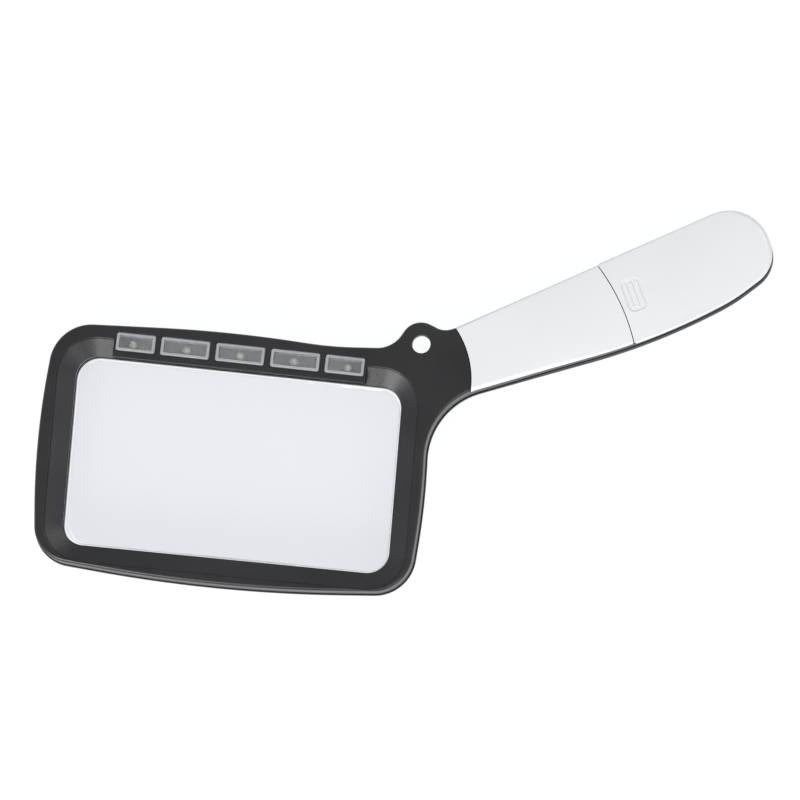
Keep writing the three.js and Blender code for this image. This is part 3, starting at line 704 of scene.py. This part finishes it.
def led_resin(name):
    look = Look(name, IOR=1.5, Transmission_Weight=0.12, Coat_Weight=0.3)
    look.tones(look.noise(0.002), (0.93, 0.95, 0.80), (0.97, 0.99, 0.86))
    look.roughness(look.noise(0.001), 0.08, 0.18)
    look.lets_lamps_through((0.8, 0.82, 0.72))
    return look.material


def phosphor(name):
    look = Look(name, Roughness=0.6)
    look.tones(look.noise(0.0004, 3), (0.80, 0.72, 0.22), (0.88, 0.82, 0.35))
    look.bump((look.noise(0.0002), 0.00003))
    return look.material


def steel(name, colour, roughness):
    look = Look(name, Metallic=1.0)
    cloud = look.noise(0.001, 4, (1, 6, 6))
    look.tones(cloud, scaled(colour, 0.85), scaled(colour, 1.05))
    look.roughness(cloud, roughness - 0.06, roughness + 0.12)
    look.bump((look.noise(0.0003, 2, (1, 8, 8)), 0.000004))
    return look.material


def speckled(name, tones, tone_size, roughness, roughness_size, bump_size, bump_depth, **sockets):
    """A finish whose colour, roughness and level drift a little, over sizes in metres."""
    look = Look(name, **sockets)
    look.tones(look.noise(tone_size), *tones)
    look.roughness(look.noise(roughness_size), *roughness)
    look.bump((look.noise(bump_size), bump_depth))
    return look.material


def insulation(name, colour):
    tones = (scaled(colour, 0.8), scaled(colour, 1.15))
    return speckled(name, tones, 0.002, (0.4, 0.55), 0.001, 0.0004, 0.00001)


def floor_paper(name):
    """White paper that glows a little, as on a light table."""
    look = Look(
        name, Roughness=0.9, Emission_Color=(0.985, 0.99, 1.0, 1), Emission_Strength=0.95,
        Specular_IOR_Level=0.1)
    look.tones(look.noise(0.4), (0.095, 0.095, 0.095), (0.105, 0.105, 0.105))
    return look.material


MATERIALS = {
    "black": black_plastic("black_satin", (0.012, 0.012, 0.013), 0.36, 0.0006, 0.000004),
    "grained": black_plastic("black_grained", (0.0185, 0.0185, 0.0202), 0.42, 0.0007, 0.00004),
    "dark": black_plastic("dark_moulding", (0.010, 0.010, 0.011), 0.45, 0.0005, 0.00001),
    "pale": pale_plastic("pale_satin", (0.73, 0.735, 0.745)),
    # The lens acrylic is tinted darker than clear acrylic. That tint is its faint blue tint plus painted
    # shade of the floor beneath it. Its margin gets a lighter copy of the same acrylic, which is a painted
    # highlight strip along the lens edge.
    "clear": clear_acrylic("lens_acrylic_painted_shade", (0.805, 0.813, 0.84)),
    "clear_edge_painted_highlight": clear_acrylic("lens_edge_painted_highlight", (0.94, 0.945, 0.955)),
    "window": window_plastic(
        "window_plastic", ((0.92, 0.93, 0.94), (0.96, 0.97, 0.98)), 0.96, (0.02, 0.05)),
    "frosted": window_plastic(
        "window_frosted", ((0.36, 0.365, 0.38), (0.41, 0.415, 0.43)), 0.12, (0.3, 0.4)),
    "resin": led_resin("led_resin"),
    "phosphor": phosphor("led_phosphor"),
    "steel": steel("nickel_plate", (0.72, 0.72, 0.71), 0.25),
    "jacket": speckled(
        "cell_jacket", ((0.05, 0.16, 0.30), (0.08, 0.22, 0.38)), 0.01, (0.22, 0.34), 0.004,
        0.003, 0.00002, Metallic=0.55),
    "board": speckled(
        "solder_mask", ((0.84, 0.85, 0.86), (0.90, 0.91, 0.92)), 0.003, (0.35, 0.5), 0.001,
        0.0006, 0.00002, IOR=1.5),
    "red": insulation("red_insulation", (0.42, 0.02, 0.02)),
    "wire_black": insulation("black_insulation", (0.012, 0.012, 0.012)),
}

# ---- pieces


def piece(name, shape, looks, rides_on, stands_for=(), sharp=35, soften=0.0, pick=None):
    """Moves a design shape to the row frame, shades and paints it, and ties it to its CAD body."""
    shape.name = name
    mesh = shape.data
    mesh.name = name
    mesh.materials.clear()
    for look in looks:
        mesh.materials.append(MATERIALS[look])
    for polygon in mesh.polygons:
        polygon.material_index = pick(polygon) if pick else 0
    mesh.transform(TO_ROW)
    mesh.shade_smooth()
    mesh.set_sharp_from_angle(angle=math.radians(sharp))
    if soften:
        bevel = shape.modifiers.new("soften", "BEVEL")
        bevel.width = soften * MM
        bevel.segments = 2
        bevel.limit_method = "ANGLE"
        bevel.angle_limit = math.radians(40)
        bevel.harden_normals = False
    weighted = shape.modifiers.new("normals", "WEIGHTED_NORMAL")
    weighted.keep_sharp = True
    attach(shape, rides_on)
    if stands_for:
        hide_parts(*stands_for)


def rolled_height(share):
    """Heights down the rounding of the upper edge: share is 0 at its top and 1 at its foot."""
    return lambda s: highest_z(s) + 0.02 - share * blend(FRAME_ROLL, HANDLE_ROLL, handle_share(s))


def page_side_profile(handle_inset):
    """From the parting line up: an eased foot, a nearly upright wall, then a roll onto the top."""
    foot = PARTING_Z + GAP / 2
    profile = [
        (0.28, handle_inset + 0.2, lambda s: foot - 0.02),
        (0.07, handle_inset + 0.04, lambda s: foot + 0.1),
        (0.0, handle_inset, lambda s: foot + 0.35),
        (0.15, handle_inset, down(5)),
    ]
    for k in range(ROLL_STEPS + 1):
        turn = math.pi / 2 * k / ROLL_STEPS
        inwards = 1 - math.cos(turn)
        height = rolled_height(1 - math.sin(turn))
        profile.append((0.25 + 1.15 * inwards, handle_inset + 0.1 + HANDLE_ROLL_INSET * inwards, height))
    return profile


def page_side_body(handle_inset):
    return keep(body(page_side_profile(handle_inset)), half_space(PARTING_Z + GAP / 2, True))


def page_side_cavity(wall):
    return body([
        (wall, wall, up(8)),
        (wall, wall + 0.2, down(4.6)),
        (wall + 0.9, wall + 1.6, down(3)),
        (wall + 1.8, wall + 4.6, down(SKIN)),
    ], SKIN + 0.1)


def window_length(i):
    return END_WINDOW_LENGTH if i in (0, len(WINDOW_CENTRES) - 1) else WINDOW_LENGTH


def bevel_cutter():
    """The air over the bevel: a grained slope, then a soft-edged step up to the rim."""
    steps = [(0, BEVEL_LOW_Z - 4), (0, BEVEL_LOW_Z - 0.15)]
    steps += [(0.04, BEVEL_LOW_Z - 0.03), (0.16, BEVEL_LOW_Z + 0.08)]
    steps += [(BEVEL_WIDTH - 0.1, BEVEL_HIGH_Z), (BEVEL_WIDTH + 0.06, BEVEL_HIGH_Z + 0.12)]
    for k in range(4):
        turn = math.pi / 2 * k / 4
        growth = BEVEL_WIDTH + 0.12 + 0.5 * (1 - math.cos(turn))
        steps.append((growth, FRAME_THICKNESS - 0.4 * (1 - math.sin(turn))))
    widest = BEVEL_WIDTH + 0.12 + 0.5
    steps += [(widest, FRAME_THICKNESS + 0.03), (widest, SKY)]
    plateau = stack(
        rectangle(bar_point(0, 0), 2 * PLATEAU_HALF_LENGTH, 18, 0.6, BAR_TURN),
        [(0.2, 0), (0.05, FRAME_THICKNESS - 0.5), (-0.05, FRAME_THICKNESS - 0.15),
         (-0.35, FRAME_THICKNESS + 0.02), (-0.35, SKY + 1)])
    return cut(stack(OPENING, steps), plateau)


def opening_cutter():
    """The opening's wall falls away below its softened edge, and further under the land by the windows."""
    top = FRAME_THICKNESS
    wall = stack(OPENING, [
        (OPENING_UNDERCUT, -SKY), (OPENING_UNDERCUT, PARTING_Z), (0, BEVEL_LOW_Z - 0.2), (0, top - 0.45),
        (0.06, top - 0.2), (0.18, top - 0.07), (0.4, top + 0.02), (0.4, SKY)])
    under = stack(OPENING, [
        (PLATEAU_UNDERCUT, -SKY + 1), (PLATEAU_UNDERCUT, PARTING_Z), (0, top - 0.5), (0, SKY - 1)])
    return join(wall, keep(under, bar_block(0, -8, 2 * PLATEAU_HALF_LENGTH, 16, -SKY + 2, SKY - 2)))


def is_bevel(polygon):
    """Whether a face is on the sloping band around the lens, which is coarser."""
    if not (0.6 < polygon.normal.z < 0.95 and BEVEL_LOW_Z - 0.1 < polygon.center.z < BEVEL_HIGH_Z + 0.1):
        return 0
    at = polygon.center.xy
    nearest = min(OPENING, key=lambda pair: (pair[0] - at).length_squared)[0]
    reach = (at - nearest).length
    return 1 if reach < BEVEL_WIDTH + 0.4 and abs(at.x) < 62 else 0


def lug_hole_cutter():
    """A flared hole with an eased edge on both sides."""
    foot = PARTING_Z + GAP / 2
    top = FRAME_THICKNESS
    flare = LUG_MOUTH_RADIUS - LUG_HOLE_RADIUS
    return stack(circle(LUG_HOLE, LUG_HOLE_RADIUS), [
        (flare + 0.3, 0), (flare + 0.3, foot - 0.02), (flare + 0.06, foot + 0.12), (flare, foot + 0.4),
        (0.12, LUG_FLARE_Z - 0.3), (0, LUG_FLARE_Z + 0.3),
        (0, top - 0.4), (0.1, top - 0.14), (0.4, top + 0.02), (0.4, SKY)])


def lug_relief(growth):
    return post(LUG_RELIEF, LUG_RELIEF_RADIUS + growth, -1, SKY - 1, 160)


def front_shell():
    shape = page_side_body(0.35)
    neck = (NECK_ARC[0], NECK_ARC[1], NECK_ARC[2] - SEAM_WIDTH)
    cut(shape, past_arc(neck, -4, COVER_Z - GAP / 2, SKY))
    cavity = page_side_cavity(WALL)
    cut(cavity, stack(OPENING, [(WALL, 0), (WALL, 10.6), (WALL + 5.6, 14.3), (9, SKY - 1)]))
    cut(cavity, post(LUG_HOLE, LUG_HOLE_RADIUS + 3.4, 0, SKY - 1), lug_relief(LUG_RELIEF_WALL))
    seat_length = 2 * (STRIP_HALF_LENGTH + GAP)
    join(cavity, bar_block(0, -0.05, seat_length, STRIP_SEAT_WIDTH, PARTING_Z - 1, STRIP_SEAT_HIGH_Z))
    cut(shape, cavity)
    for centre in SCREW_CENTRES:
        boss = post(centre, FRONT_BOSS_RADIUS, PARTING_Z + GAP / 2, 15)
        join(shape, cut(boss, post(centre, FRONT_BOSS_BORE_RADIUS, 0, 13)))
    cut(shape, bevel_cutter(), opening_cutter(), lug_hole_cutter())
    for i, along in enumerate(WINDOW_CENTRES):
        cut(shape, bar_block(
            along, 0, window_length(i), WINDOW_WIDTH, 10, FRAME_THICKNESS,
            radius=0.85, top_flare=0.14))
    piece(
        "front_shell_skin", shape, ["black", "grained"], "housing", ["front_shell"],
        pick=is_bevel)


def back_shell_outside():
    """A rounded lower edge, a bulging wall, and a ledge that slopes in to the parting line."""
    top = PARTING_Z - GAP / 2
    shape = body([
        (1.95, 6.6, up(-0.02)),
        (1.55, 5.6, up(0.05)),
        (1.1, 4.6, up(0.22)),
        (0.7, 3.5, up(0.55)),
        (0.4, 2.5, up(1.05)),
        (0.15, 1.5, up(1.8)),
        (0.0, 0.8, up(2.7)),
        (-0.15, 0.25, up(3.8)),
        (-0.3, -0.15, up(5.0)),
        (-0.42, -0.35, up(6.0)),
        (-0.5, -0.45, lambda s: blend(6.8, 6.2, handle_share(s))),
        (-0.5, -0.40, lambda s: top - blend(0.3, 1.3, handle_share(s))),
        (-0.42, -0.2, lambda s: top - blend(0.1, 0.6, handle_share(s))),
        (-0.2, 0.15, lambda s: top + 0.02),
    ])
    return keep(shape, half_space(top, False))


def back_shell_inside():
    """The space between the shell's walls, which stay whole around the opening and the lug."""
    cavity = body([
        (3.0, 8.0, up(FLOOR)),
        (1.9, 4.4, up(2.4)),
        (1.7, 2.0, up(4.6)),
        (1.7, 1.9, up(9)),
    ], FLOOR)
    cut(cavity, stack(OPENING, [(2.8, 0), (2.8, SKY - 1)]), lug_relief(LUG_RELIEF_WALL))
    return cut(cavity, post(LUG_HOLE, LUG_MOUTH_RADIUS + LUG_RELIEF_WALL, 0, SKY - 1))


def lens_seat_cutter():
    """The viewer-side bevel, the lip that carries the lens flange, and the room for the flange."""
    seat_z = LENS_FLANGE_LOW_Z - GAP
    reach = LENS_FLANGE_REACH + GAP
    return stack(OPENING, [
        (3.2, -1), (3.1, 0.02), (2.85, 0.12), (2.5, 0.5), (0.6, 3.1),
        (LENS_LIP_SETBACK, 3.4), (LENS_LIP_SETBACK, seat_z), (reach, seat_z + 0.01), (reach, SKY)])


def back_shell():
    shape = cut(back_shell_outside(), back_shell_inside())
    for centre in SCREW_CENTRES:
        join(shape, post(centre, BACK_BOSS_RADIUS, 1.5, PARTING_Z - GAP / 2))
    near_wall = (CONTACT_NEAR_S - 1.8, -25, -4.6, 12.6)
    far_wall = (CONTACT_FAR_S + GAP, -24, -4.6, 11.6)
    for s, t0, t1, high in (near_wall, far_wall):
        join(shape, handle_block(s, s + 1.45, t0, t1, FLOOR - 0.1, high, edge=0.2))
    for t0, t1 in ((-2.6, -1.2), (-29, -26.7)):  # rails over the door's tongues
        join(shape, handle_block(RUNNER_S, RUNNER_S + DOOR_TRAVEL, t0, t1, 7.2, 8.0))
    cut(shape, lens_seat_cutter())
    for centre, radius in ((LUG_RELIEF, LUG_RELIEF_RADIUS), (LUG_HOLE, LUG_MOUTH_RADIUS)):
        cut(shape, stack(circle(centre, radius, 160), [
            (0.5, -1), (0.47, -0.02), (0.15, 0.15), (0, 0.5),
            (0, PARTING_Z - 0.5), (0.3, PARTING_Z), (0.3, SKY)]))
    for centre in SCREW_CENTRES:
        cut(shape, stack(circle(centre, COUNTERBORE_RADIUS), [
            (0.3, -1), (0.27, -0.02), (0.08, 0.1), (0, 0.35), (0, 3.1)]))
        cut(shape, post(centre, SCREW_CLEARANCE_RADIUS, 3, SKY))
    at = handle_point(SWITCH_MIDDLE_S, SWITCH_T)
    low = HANDLE_BOTTOM_Z * handle_share(SWITCH_MIDDLE_S)
    cut(shape, stack(rectangle(at, *SWITCH_RECESS, 1.6, HANDLE_TURN), [
        (0.35, -1), (0.32, low - 0.02), (0.1, low + 0.12), (0, low + 0.35),
        (-0.15, HANDLE_BOTTOM_Z + 0.9)]))
    cut(shape, stack(rectangle(at, *SWITCH_SLOT, 0.4, HANDLE_TURN), [(0, 0), (0, 6)]))
    piece("back_shell_skin", shape, ["black"], "housing", ["back_shell"])


def nick_seam_ends(shape):
    """Takes a little off a cover's corners, where the seam meets the body's outline."""
    x, y, radius = SEAM_ARC
    centre = Vector((x, y))
    for (a, _), (b, _) in zip(OUTLINE, OUTLINE[1:]):
        beyond_a = (a - centre).length - radius
        beyond_b = (b - centre).length - radius
        if beyond_a * beyond_b < 0 and along_handle(a) > 20:
            end = a.lerp(b, beyond_a / (beyond_a - beyond_b))
            cut(shape, post(end, SEAM_NICK_RADIUS, COVER_Z - 1, SKY))


def handle_panel():
    shape = keep(page_side_body(0.35), half_space(COVER_Z + GAP / 2, True))
    keep(shape, past_arc(NECK_ARC, -4))
    nick_seam_ends(keep(shape, inside_arc(SEAM_ARC)))
    cut(shape, page_side_cavity(2.3))
    for s, t in ((12, -8), (41, -5.8), (36, -20)):  # support posts under the cover
        join(shape, post(handle_point(s, t), 1.3, 4.6, 16))
    piece(
        "handle_panel_skin", shape, ["pale"], "housing", ["handle_panel"],
        soften=COVER_EDGE_BEVEL)


def grip_recess_cutter():
    """A shallow rounded recess with three ribs left standing in it."""
    at = handle_point(GRIP_S, GRIP_T)
    floor_z = HANDLE_TOP_Z - GRIP_DEPTH
    recess = prism(
        at, GRIP_LENGTH, GRIP_WIDTH, floor_z, HANDLE_TOP_Z - 0.05, 2.0, GRIP_TURN, top_flare=0.38)
    for step in (-1, 0, 1):
        shift = Vector((step * GRIP_RIB_PITCH, 0))
        shift.rotate(Matrix.Rotation(GRIP_TURN, 2))
        cut(recess, prism(
            at + shift, GRIP_RIB_LENGTH, GRIP_WIDTH - 2.2, floor_z - 1, HANDLE_TOP_Z - 0.14,
            0.5, GRIP_TURN, edge=0.26))
    return recess


def battery_door():
    shape = keep(page_side_body(0.05), half_space(COVER_Z + GAP / 2, True))
    nick_seam_ends(keep(shape, past_arc(SEAM_ARC, 20)))
    cut(shape, page_side_cavity(2.0))
    cut(shape, grip_recess_cutter())
    far = RUNNER_S + DOOR_TRAVEL
    for t0, t1, foot in ((-3.9, -3.2, -2.2), (-26.3, -25.7, -27.1)):  # tongues with a turned-out foot
        join(shape, handle_block(RUNNER_S, far, t0, t1, RUNNER_LOW_Z, 15.2))
        join(shape, handle_block(RUNNER_S, far, min(t0, foot), max(t1, foot), RUNNER_LOW_Z, 6.8))
    piece(
        "battery_door_skin", shape, ["pale"], "battery_door", ["battery_door"],
        soften=COVER_EDGE_BEVEL)


def magnifying_lens():
    """Two shallow domes over the opening's shape, with a flat margin and a flange under the shell."""
    radius = (LENS_HALF_DIAGONAL ** 2 + LENS_RISE ** 2) / (2 * LENS_RISE)
    middle_z = (LENS_FLANGE_LOW_Z + LENS_FLANGE_HIGH_Z) / 2
    half_thick = (LENS_FLANGE_HIGH_Z - LENS_FLANGE_LOW_Z) / 2

    def dome(x, y):
        return math.sqrt(radius ** 2 - x * x - y * y) - radius + LENS_RISE + half_thick

    edge = ring(OPENING, -LENS_MARGIN, 0)
    shares = [k / 24 for k in range(1, 24)] + [0.985, 0.997, 1]
    upper = []
    for share in shares:
        drop = 0.12 * max(0, (share - 0.985) / 0.015) ** 2
        upper.append([(x * share, y * share, dome(x * share, y * share) - drop) for x, y, _ in edge])
    rim = [
        ring(OPENING, -LENS_MARGIN, half_thick + 0.08),
        ring(OPENING, -LENS_MARGIN + 0.08, half_thick),
        ring(OPENING, LENS_FLANGE_REACH - 0.15, half_thick),
        ring(OPENING, LENS_FLANGE_REACH, half_thick - 0.15),
    ]
    half = [*upper, *rim]
    rings = [[(x, y, middle_z - z) for x, y, z in r] for r in half]
    rings += [[(x, y, middle_z + z) for x, y, z in r] for r in reversed(half)]
    shape = loft(rings)
    # The flat margin and flange take the lighter acrylic copy, a painted highlight strip along the lens
    # edge.
    piece(
        "lens_body", shape, ["clear", "clear_edge_painted_highlight"], "housing", ["magnifying_lens"], sharp=30,
        pick=lambda polygon: 1 if abs(polygon.center.z - middle_z) < half_thick + 0.05 else 0)


def light_windows():
    """Five clear pads with frosted borders and a pocket for each lamp, on one strip behind the rim."""
    top = FRAME_THICKNESS
    width = WINDOW_WIDTH - GAP
    shape = bar_block(0, 0, 2 * STRIP_HALF_LENGTH, STRIP_WIDTH, STRIP_LOW_Z, STRIP_HIGH_Z)
    for i, along in enumerate(WINDOW_CENTRES):
        at = bar_point(along, 0)
        length = window_length(i) - GAP
        join(shape, stack(rectangle(at, length, width, 0.8, BAR_TURN), [
            (0, 13.8), (0, top - 0.5), (-0.08, top - 0.28), (-0.24, top - 0.09), (-0.45, top)]))
        inner = rectangle(at, length - 2 * WINDOW_BORDER, width - 2 * WINDOW_BORDER, 0.3, BAR_TURN)
        cut(shape, stack(inner, [(0, 12), (0, top - 1.9), (-0.2, top - POCKET_ROOF)]))
        cut(shape, stack(inner, [(0, top - PAD_FACE_SUNK), (0.12, top + 0.02), (0.12, SKY)]))
    fan_faces_at(shape, top - POCKET_ROOF, top - PAD_FACE_SUNK)
    piece(
        "light_windows", shape, ["window", "frosted"], "housing",
        ["light_window_strip"], sharp=12, pick=lambda polygon: is_window_border(shape, polygon))


def fan_faces_at(shape, *levels):
    """Splits the level faces at these heights around their middles, so that they shade evenly."""
    shaped = bmesh.new()
    shaped.from_mesh(shape.data)
    chosen = [
        face for face in shaped.faces
        if abs(face.normal.z) > 0.999 and any(abs(face.verts[0].co.z - level) < 0.01 for level in levels)]
    bmesh.ops.poke(shaped, faces=chosen)
    shaped.to_mesh(shape.data)
    shaped.free()


def is_window_border(shape, polygon):
    """Whether a face reaches outside its pad's pocket, above the strip."""
    if polygon.center.z < STRIP_HIGH_Z + 0.1:
        return 0
    along = (polygon.center.xy - BAR_MIDDLE).x
    i = min(range(len(WINDOW_CENTRES)), key=lambda k: abs(WINDOW_CENTRES[k] - along))
    half_length = (window_length(i) - GAP) / 2 - WINDOW_BORDER
    half_width = (WINDOW_WIDTH - GAP) / 2 - WINDOW_BORDER
    for index in polygon.vertices:
        at = shape.data.vertices[index].co.xy - bar_point(WINDOW_CENTRES[i], 0)
        at.rotate(Matrix.Rotation(-BAR_TURN, 2))
        if max(abs(at.x) - half_length, abs(at.y) - half_width) > 0.16:
            return 1
    return 0


def leds():
    """Round lamps: a clear flanged dome over a small cup of phosphor."""
    base = BOARD_HIGH_Z + 0.1
    barrel = eased([
        (0, 0), (LED_FLANGE_RADIUS, 0), (LED_FLANGE_RADIUS, LED_FLANGE_HEIGHT),
        (LED_RADIUS, LED_FLANGE_HEIGHT), (LED_RADIUS, LED_BARREL_HEIGHT)], 0.08)
    dome = []
    for k in range(8):
        angle = math.pi / 2 * k / 8
        dome.append((LED_RADIUS * math.cos(angle), 3.9 + 1.45 * math.sin(angle)))
    profile = [(0, 0), *barrel[1:], *dome, (0, LED_HEIGHT)]
    cup = [(0, 0), (0.55, 0), (0.95, 0.75), (0.85, 0.8), (0, 0.7)]
    room_for_cup = [(0, 0), (0.57, 0), (0.97, 0.76), (0.87, 0.82), (0, 0.72)]
    for k in range(len(WINDOW_CENTRES)):
        at = bar_point((k - 2) * LED_PITCH + LED_ROW_SHIFT[0], LED_ROW_SHIFT[1])
        shape = place(turned(profile, 40), Matrix.Translation((*at, base)))
        die = place(turned(cup, 24), Matrix.Translation((*at, base + 2.6)))
        cut(shape, place(turned(room_for_cup, 24), Matrix.Translation((*at, base + 2.59))))
        piece(f"led_{k + 1}_dome", shape, ["resin"], "housing", [f"led_{k + 1}"])
        piece(f"led_{k + 1}_phosphor", die, ["phosphor"], "housing")


def on_cell_axis(s, t, turn):
    """Puts a shape at a cell's height on the handle, turned about Z."""
    return Matrix.Translation((*handle_point(s, t), CELL_AXIS_Z)) @ Matrix.Rotation(turn, 4, "Z")


def batteries():
    """Cells with a printed jacket, bare steel ends and a button."""
    places = [
        (CELLS_NEAR_S + CELL_LENGTH, CELL_T[0], HANDLE_TURN + math.pi),
        (CELLS_FAR_S - CELL_LENGTH, CELL_T[1], HANDLE_TURN),
    ]
    lying = Matrix.Rotation(math.pi / 2, 4, "Y")
    r = CELL_RADIUS
    profile = eased([
        (0, 0), (r - 1.6, 0), (r - 1.4, 0.25), (r - 0.5, 0.25), (r - 0.12, 0.9), (r, 1.0),
        (r, CELL_LENGTH - 2.0), (r - 0.4, CELL_LENGTH - 1.3), (r - 0.8, CELL_LENGTH - 1.3),
        (1.95, CELL_LENGTH - 0.9), (1.85, CELL_LENGTH - 0.05), (0, CELL_LENGTH)], 0.18)

    def bare_end(polygon):
        along = (Vector((*polygon.center.xy, 0)) - Vector((*start, 0))).length
        away = (polygon.center - Vector((*start, CELL_AXIS_Z))).length
        return 1 if along < 0.95 or away > CELL_LENGTH + 0.6 or along > CELL_LENGTH - 1.9 else 0

    for i, (s, t, turn) in enumerate(places, 1):
        start = handle_point(s, t)
        shape = place(turned(profile, 64), on_cell_axis(s, t, turn) @ lying)
        piece(
            f"cell_{i}", shape, ["jacket", "steel"], "housing", [f"battery_{i}"],
            pick=bare_end)


def springs():
    """Conical coils, wide at the contact and narrow at the cell."""
    wire = SPRING_WIRE_RADIUS
    steps = 120
    path = []
    for k in range(steps + 1):
        u = k / steps
        angle = 2 * math.pi * SPRING_TURNS * u
        radius = blend(3.6, 1.9, u)
        along = wire + (SPRING_LENGTH - 2 * wire) * u
        path.append((along, radius * math.cos(angle), radius * math.sin(angle)))
    for name, node, s, t, turn in (
        ("cell_2_spring", "negative_spring", CELLS_NEAR_S - 0.1, CELL_T[1], HANDLE_TURN),
        ("cell_1_spring", "link_spring", CELLS_FAR_S + 0.1, CELL_T[0], HANDLE_TURN + math.pi)):
        shape = place(tube(path, wire, 8), on_cell_axis(s, t, turn))
        piece(name, shape, ["steel"], "housing", [node])


def leads():
    """The insulated wires, on the routes of their CAD solids: the handle, then the frame."""
    routes = {
        "battery_lead": ("red", "wire_red", [
            (SWITCH_MIDDLE_S + 2.5, SWITCH_T, 11.1), (30, -12, 11.3), (36, -10.5, 10.6),
            (41, -9.6, 9.6), (45.8, CELL_T[0], 9.2)], []),
        "switched_lead": ("red", "wire_red", [
            (SWITCH_MIDDLE_S, SWITCH_T, 11.1), (16, -13.4, 11.2), (8, -14.2, 9.4), (0, -14.6, 7.6)],
            [(63.0, 34.0, 6.8), (61.6, 37.2, 6.6), (57.6, 37.8, 6.4), (52.0, 37.6, 6.2),
             (44.4, 37.2, 6.0)]),
        "return_lead": ("wire_black", "wire_black", [
            (45.8, CELL_T[1], 8.6), (40, -17.0, 8.6), (34, -15.6, 8.4), (28, -16.6, 8.0),
            (14, -17.2, 7.6), (2, -16.8, 6.0)],
            [(63.4, 33.0, 4.8), (61.6, 37.0, 4.6), (57.6, 37.8, 4.4), (52.0, 37.2, 4.3),
             (44.4, 36.0, 4.3)]),
    }
    for node, (look, slot, on_handle, on_frame) in routes.items():
        points = [(*handle_point(s, t), z) for s, t, z in on_handle] + on_frame
        wire = tube(smooth_path(points), WIRE_RADIUS, 12)
        piece(f"{node}_wire", wire, [look], "housing", [node])


def switch_knob():
    """A thumb knob with four ribs on the viewer side and a stem through the slot."""
    s, t = SWITCH_S, SWITCH_T
    shape = stack(rectangle(handle_point(s, t), *KNOB, 0.9, HANDLE_TURN), [
        (-0.3, 0.75), (-0.1, 0.8), (0, 1.0), (0, 1.6)])
    join(shape, handle_block(s - 1.6, s + 1.6, t - 1.3, t + 1.3, 1.5, 3.1))
    for shift in KNOB_RIB_SHIFTS:
        rib = stack(rectangle(handle_point(s + shift, t), 0.7, 4.8, 0.3, HANDLE_TURN), [
            (-0.25, 0.35), (-0.08, 0.42), (0, 0.6), (0, 1.2)])
        join(shape, rib)
    piece("switch_knob_ribbed", shape, ["dark"], "switch_knob", ["switch_knob"])


def screws():
    """Pan-head screws with a cross recess, seen in their counterbores on the viewer side."""
    profile = eased([
        (0, 0), (1.2, 0), (SCREW_HEAD_RADIUS, 0.55), (SCREW_HEAD_RADIUS, SCREW_HEAD_HEIGHT),
        (SCREW_SHANK_RADIUS, SCREW_HEAD_HEIGHT), (SCREW_SHANK_RADIUS, 9.4), (0.2, 11.0),
        (0, SCREW_LENGTH)], 0.25, 4)
    for i, (x, y) in enumerate(SCREW_CENTRES, 1):
        shape = turned(profile)
        for turn in (0.35 * i, 0.35 * i + math.pi / 2):
            arm = rectangle(Vector((0, 0)), 2.1, 0.5, 0.1, turn)
            cut(shape, stack(arm, [(0.12, -1), (0.1, 0), (-0.05, 1.2)]))
        place(shape, Matrix.Translation((x, y, SCREW_HEAD_Z)))
        piece(f"screw_{i}", shape, ["steel"], "housing", [f"housing_screw_{i}"])


def paint_node(name, look):
    """A CAD node whose shape is right keeps it and gets its material."""
    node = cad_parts[name]
    node.data.materials.clear()
    node.data.materials.append(MATERIALS[look])


front_shell()
back_shell()
handle_panel()
battery_door()
magnifying_lens()
light_windows()
leds()
batteries()
springs()
leads()
switch_knob()
screws()
paint_node("led_board", "board")
for contact in ("positive_plate", "negative_plate", "link_plate"):
    paint_node(contact, "steel")
for moulding in ("current_resistor", "switch_body", "switch_slider"):
    paint_node(moulding, "dark")

# ---- floor, light and camera, in metres

FLOOR_REACH = 3
FLOOR_DROP = 0.00005

box_low, box_high = CAD_BOX
object_middle = (box_low + box_high) / 2

corners = [(-1, -1), (1, -1), (1, 1), (-1, 1)]
floor = solid([(x * FLOOR_REACH, y * FLOOR_REACH, 0) for x, y in corners], [(0, 1, 2, 3)])
floor.name = "floor"
floor.location.z = box_low.z - FLOOR_DROP
floor.data.materials.append(floor_paper("floor_paper"))

world = bpy.data.worlds.new("studio")
world.use_nodes = True
sky = next(n for n in world.node_tree.nodes if n.type == "BACKGROUND")
sky.inputs["Color"].default_value = (0.97, 0.98, 1.0, 1)
sky.inputs["Strength"].default_value = 0.58
scene.world = world


def softbox(name, place_at, size, power):
    """A square lamp that faces the object's middle."""
    data = bpy.data.lights.new(name, "AREA")
    data.shape = "SQUARE"
    data.size = size
    data.energy = power
    lamp = bpy.data.objects.new(name, data)
    lamp.location = object_middle + Vector(place_at)
    lamp.rotation_euler = Vector(place_at).to_track_quat("Z", "Y").to_euler()
    scene.collection.objects.link(lamp)


softbox("left_near", (-0.63, -1.35, 0.86), 0.7, 22)
softbox("right_near", (0.95, -1.15, 0.75), 0.4, 5)
softbox("right_far", (1.0, 0.9, 1.3), 0.9, 9)

# The photograph looks down almost squarely, from a little to the right and below, and is turned.
PHOTO_TURN = math.radians(5.75)
LEAN_RIGHT = math.radians(3.0)
LEAN_DOWN = math.radians(6.5)
CAMERA_DISTANCE = 1.5
FOCAL_LENGTH = 205.9
SENSOR_WIDTH = 36
AIM = Vector((0.0002, -0.0028, 0.013))

turned_picture = Matrix.Rotation(PHOTO_TURN, 3, "Z")
back = (turned_picture @ Vector((math.sin(LEAN_RIGHT), -math.sin(LEAN_DOWN), 1))).normalized()
right = (turned_picture @ Vector((0, 1, 0))).cross(back).normalized()
above = back.cross(right)
camera_data = bpy.data.cameras.new("camera")
camera_data.lens = FOCAL_LENGTH
camera_data.sensor_width = SENSOR_WIDTH
camera = bpy.data.objects.new("camera", camera_data)
facing = Matrix((right, above, back)).transposed().to_4x4()
camera.matrix_world = Matrix.Translation(AIM + back * CAMERA_DISTANCE) @ facing
scene.collection.objects.link(camera)
bpy.context.scene.camera = camera
scene.view_settings.view_transform = "Standard"
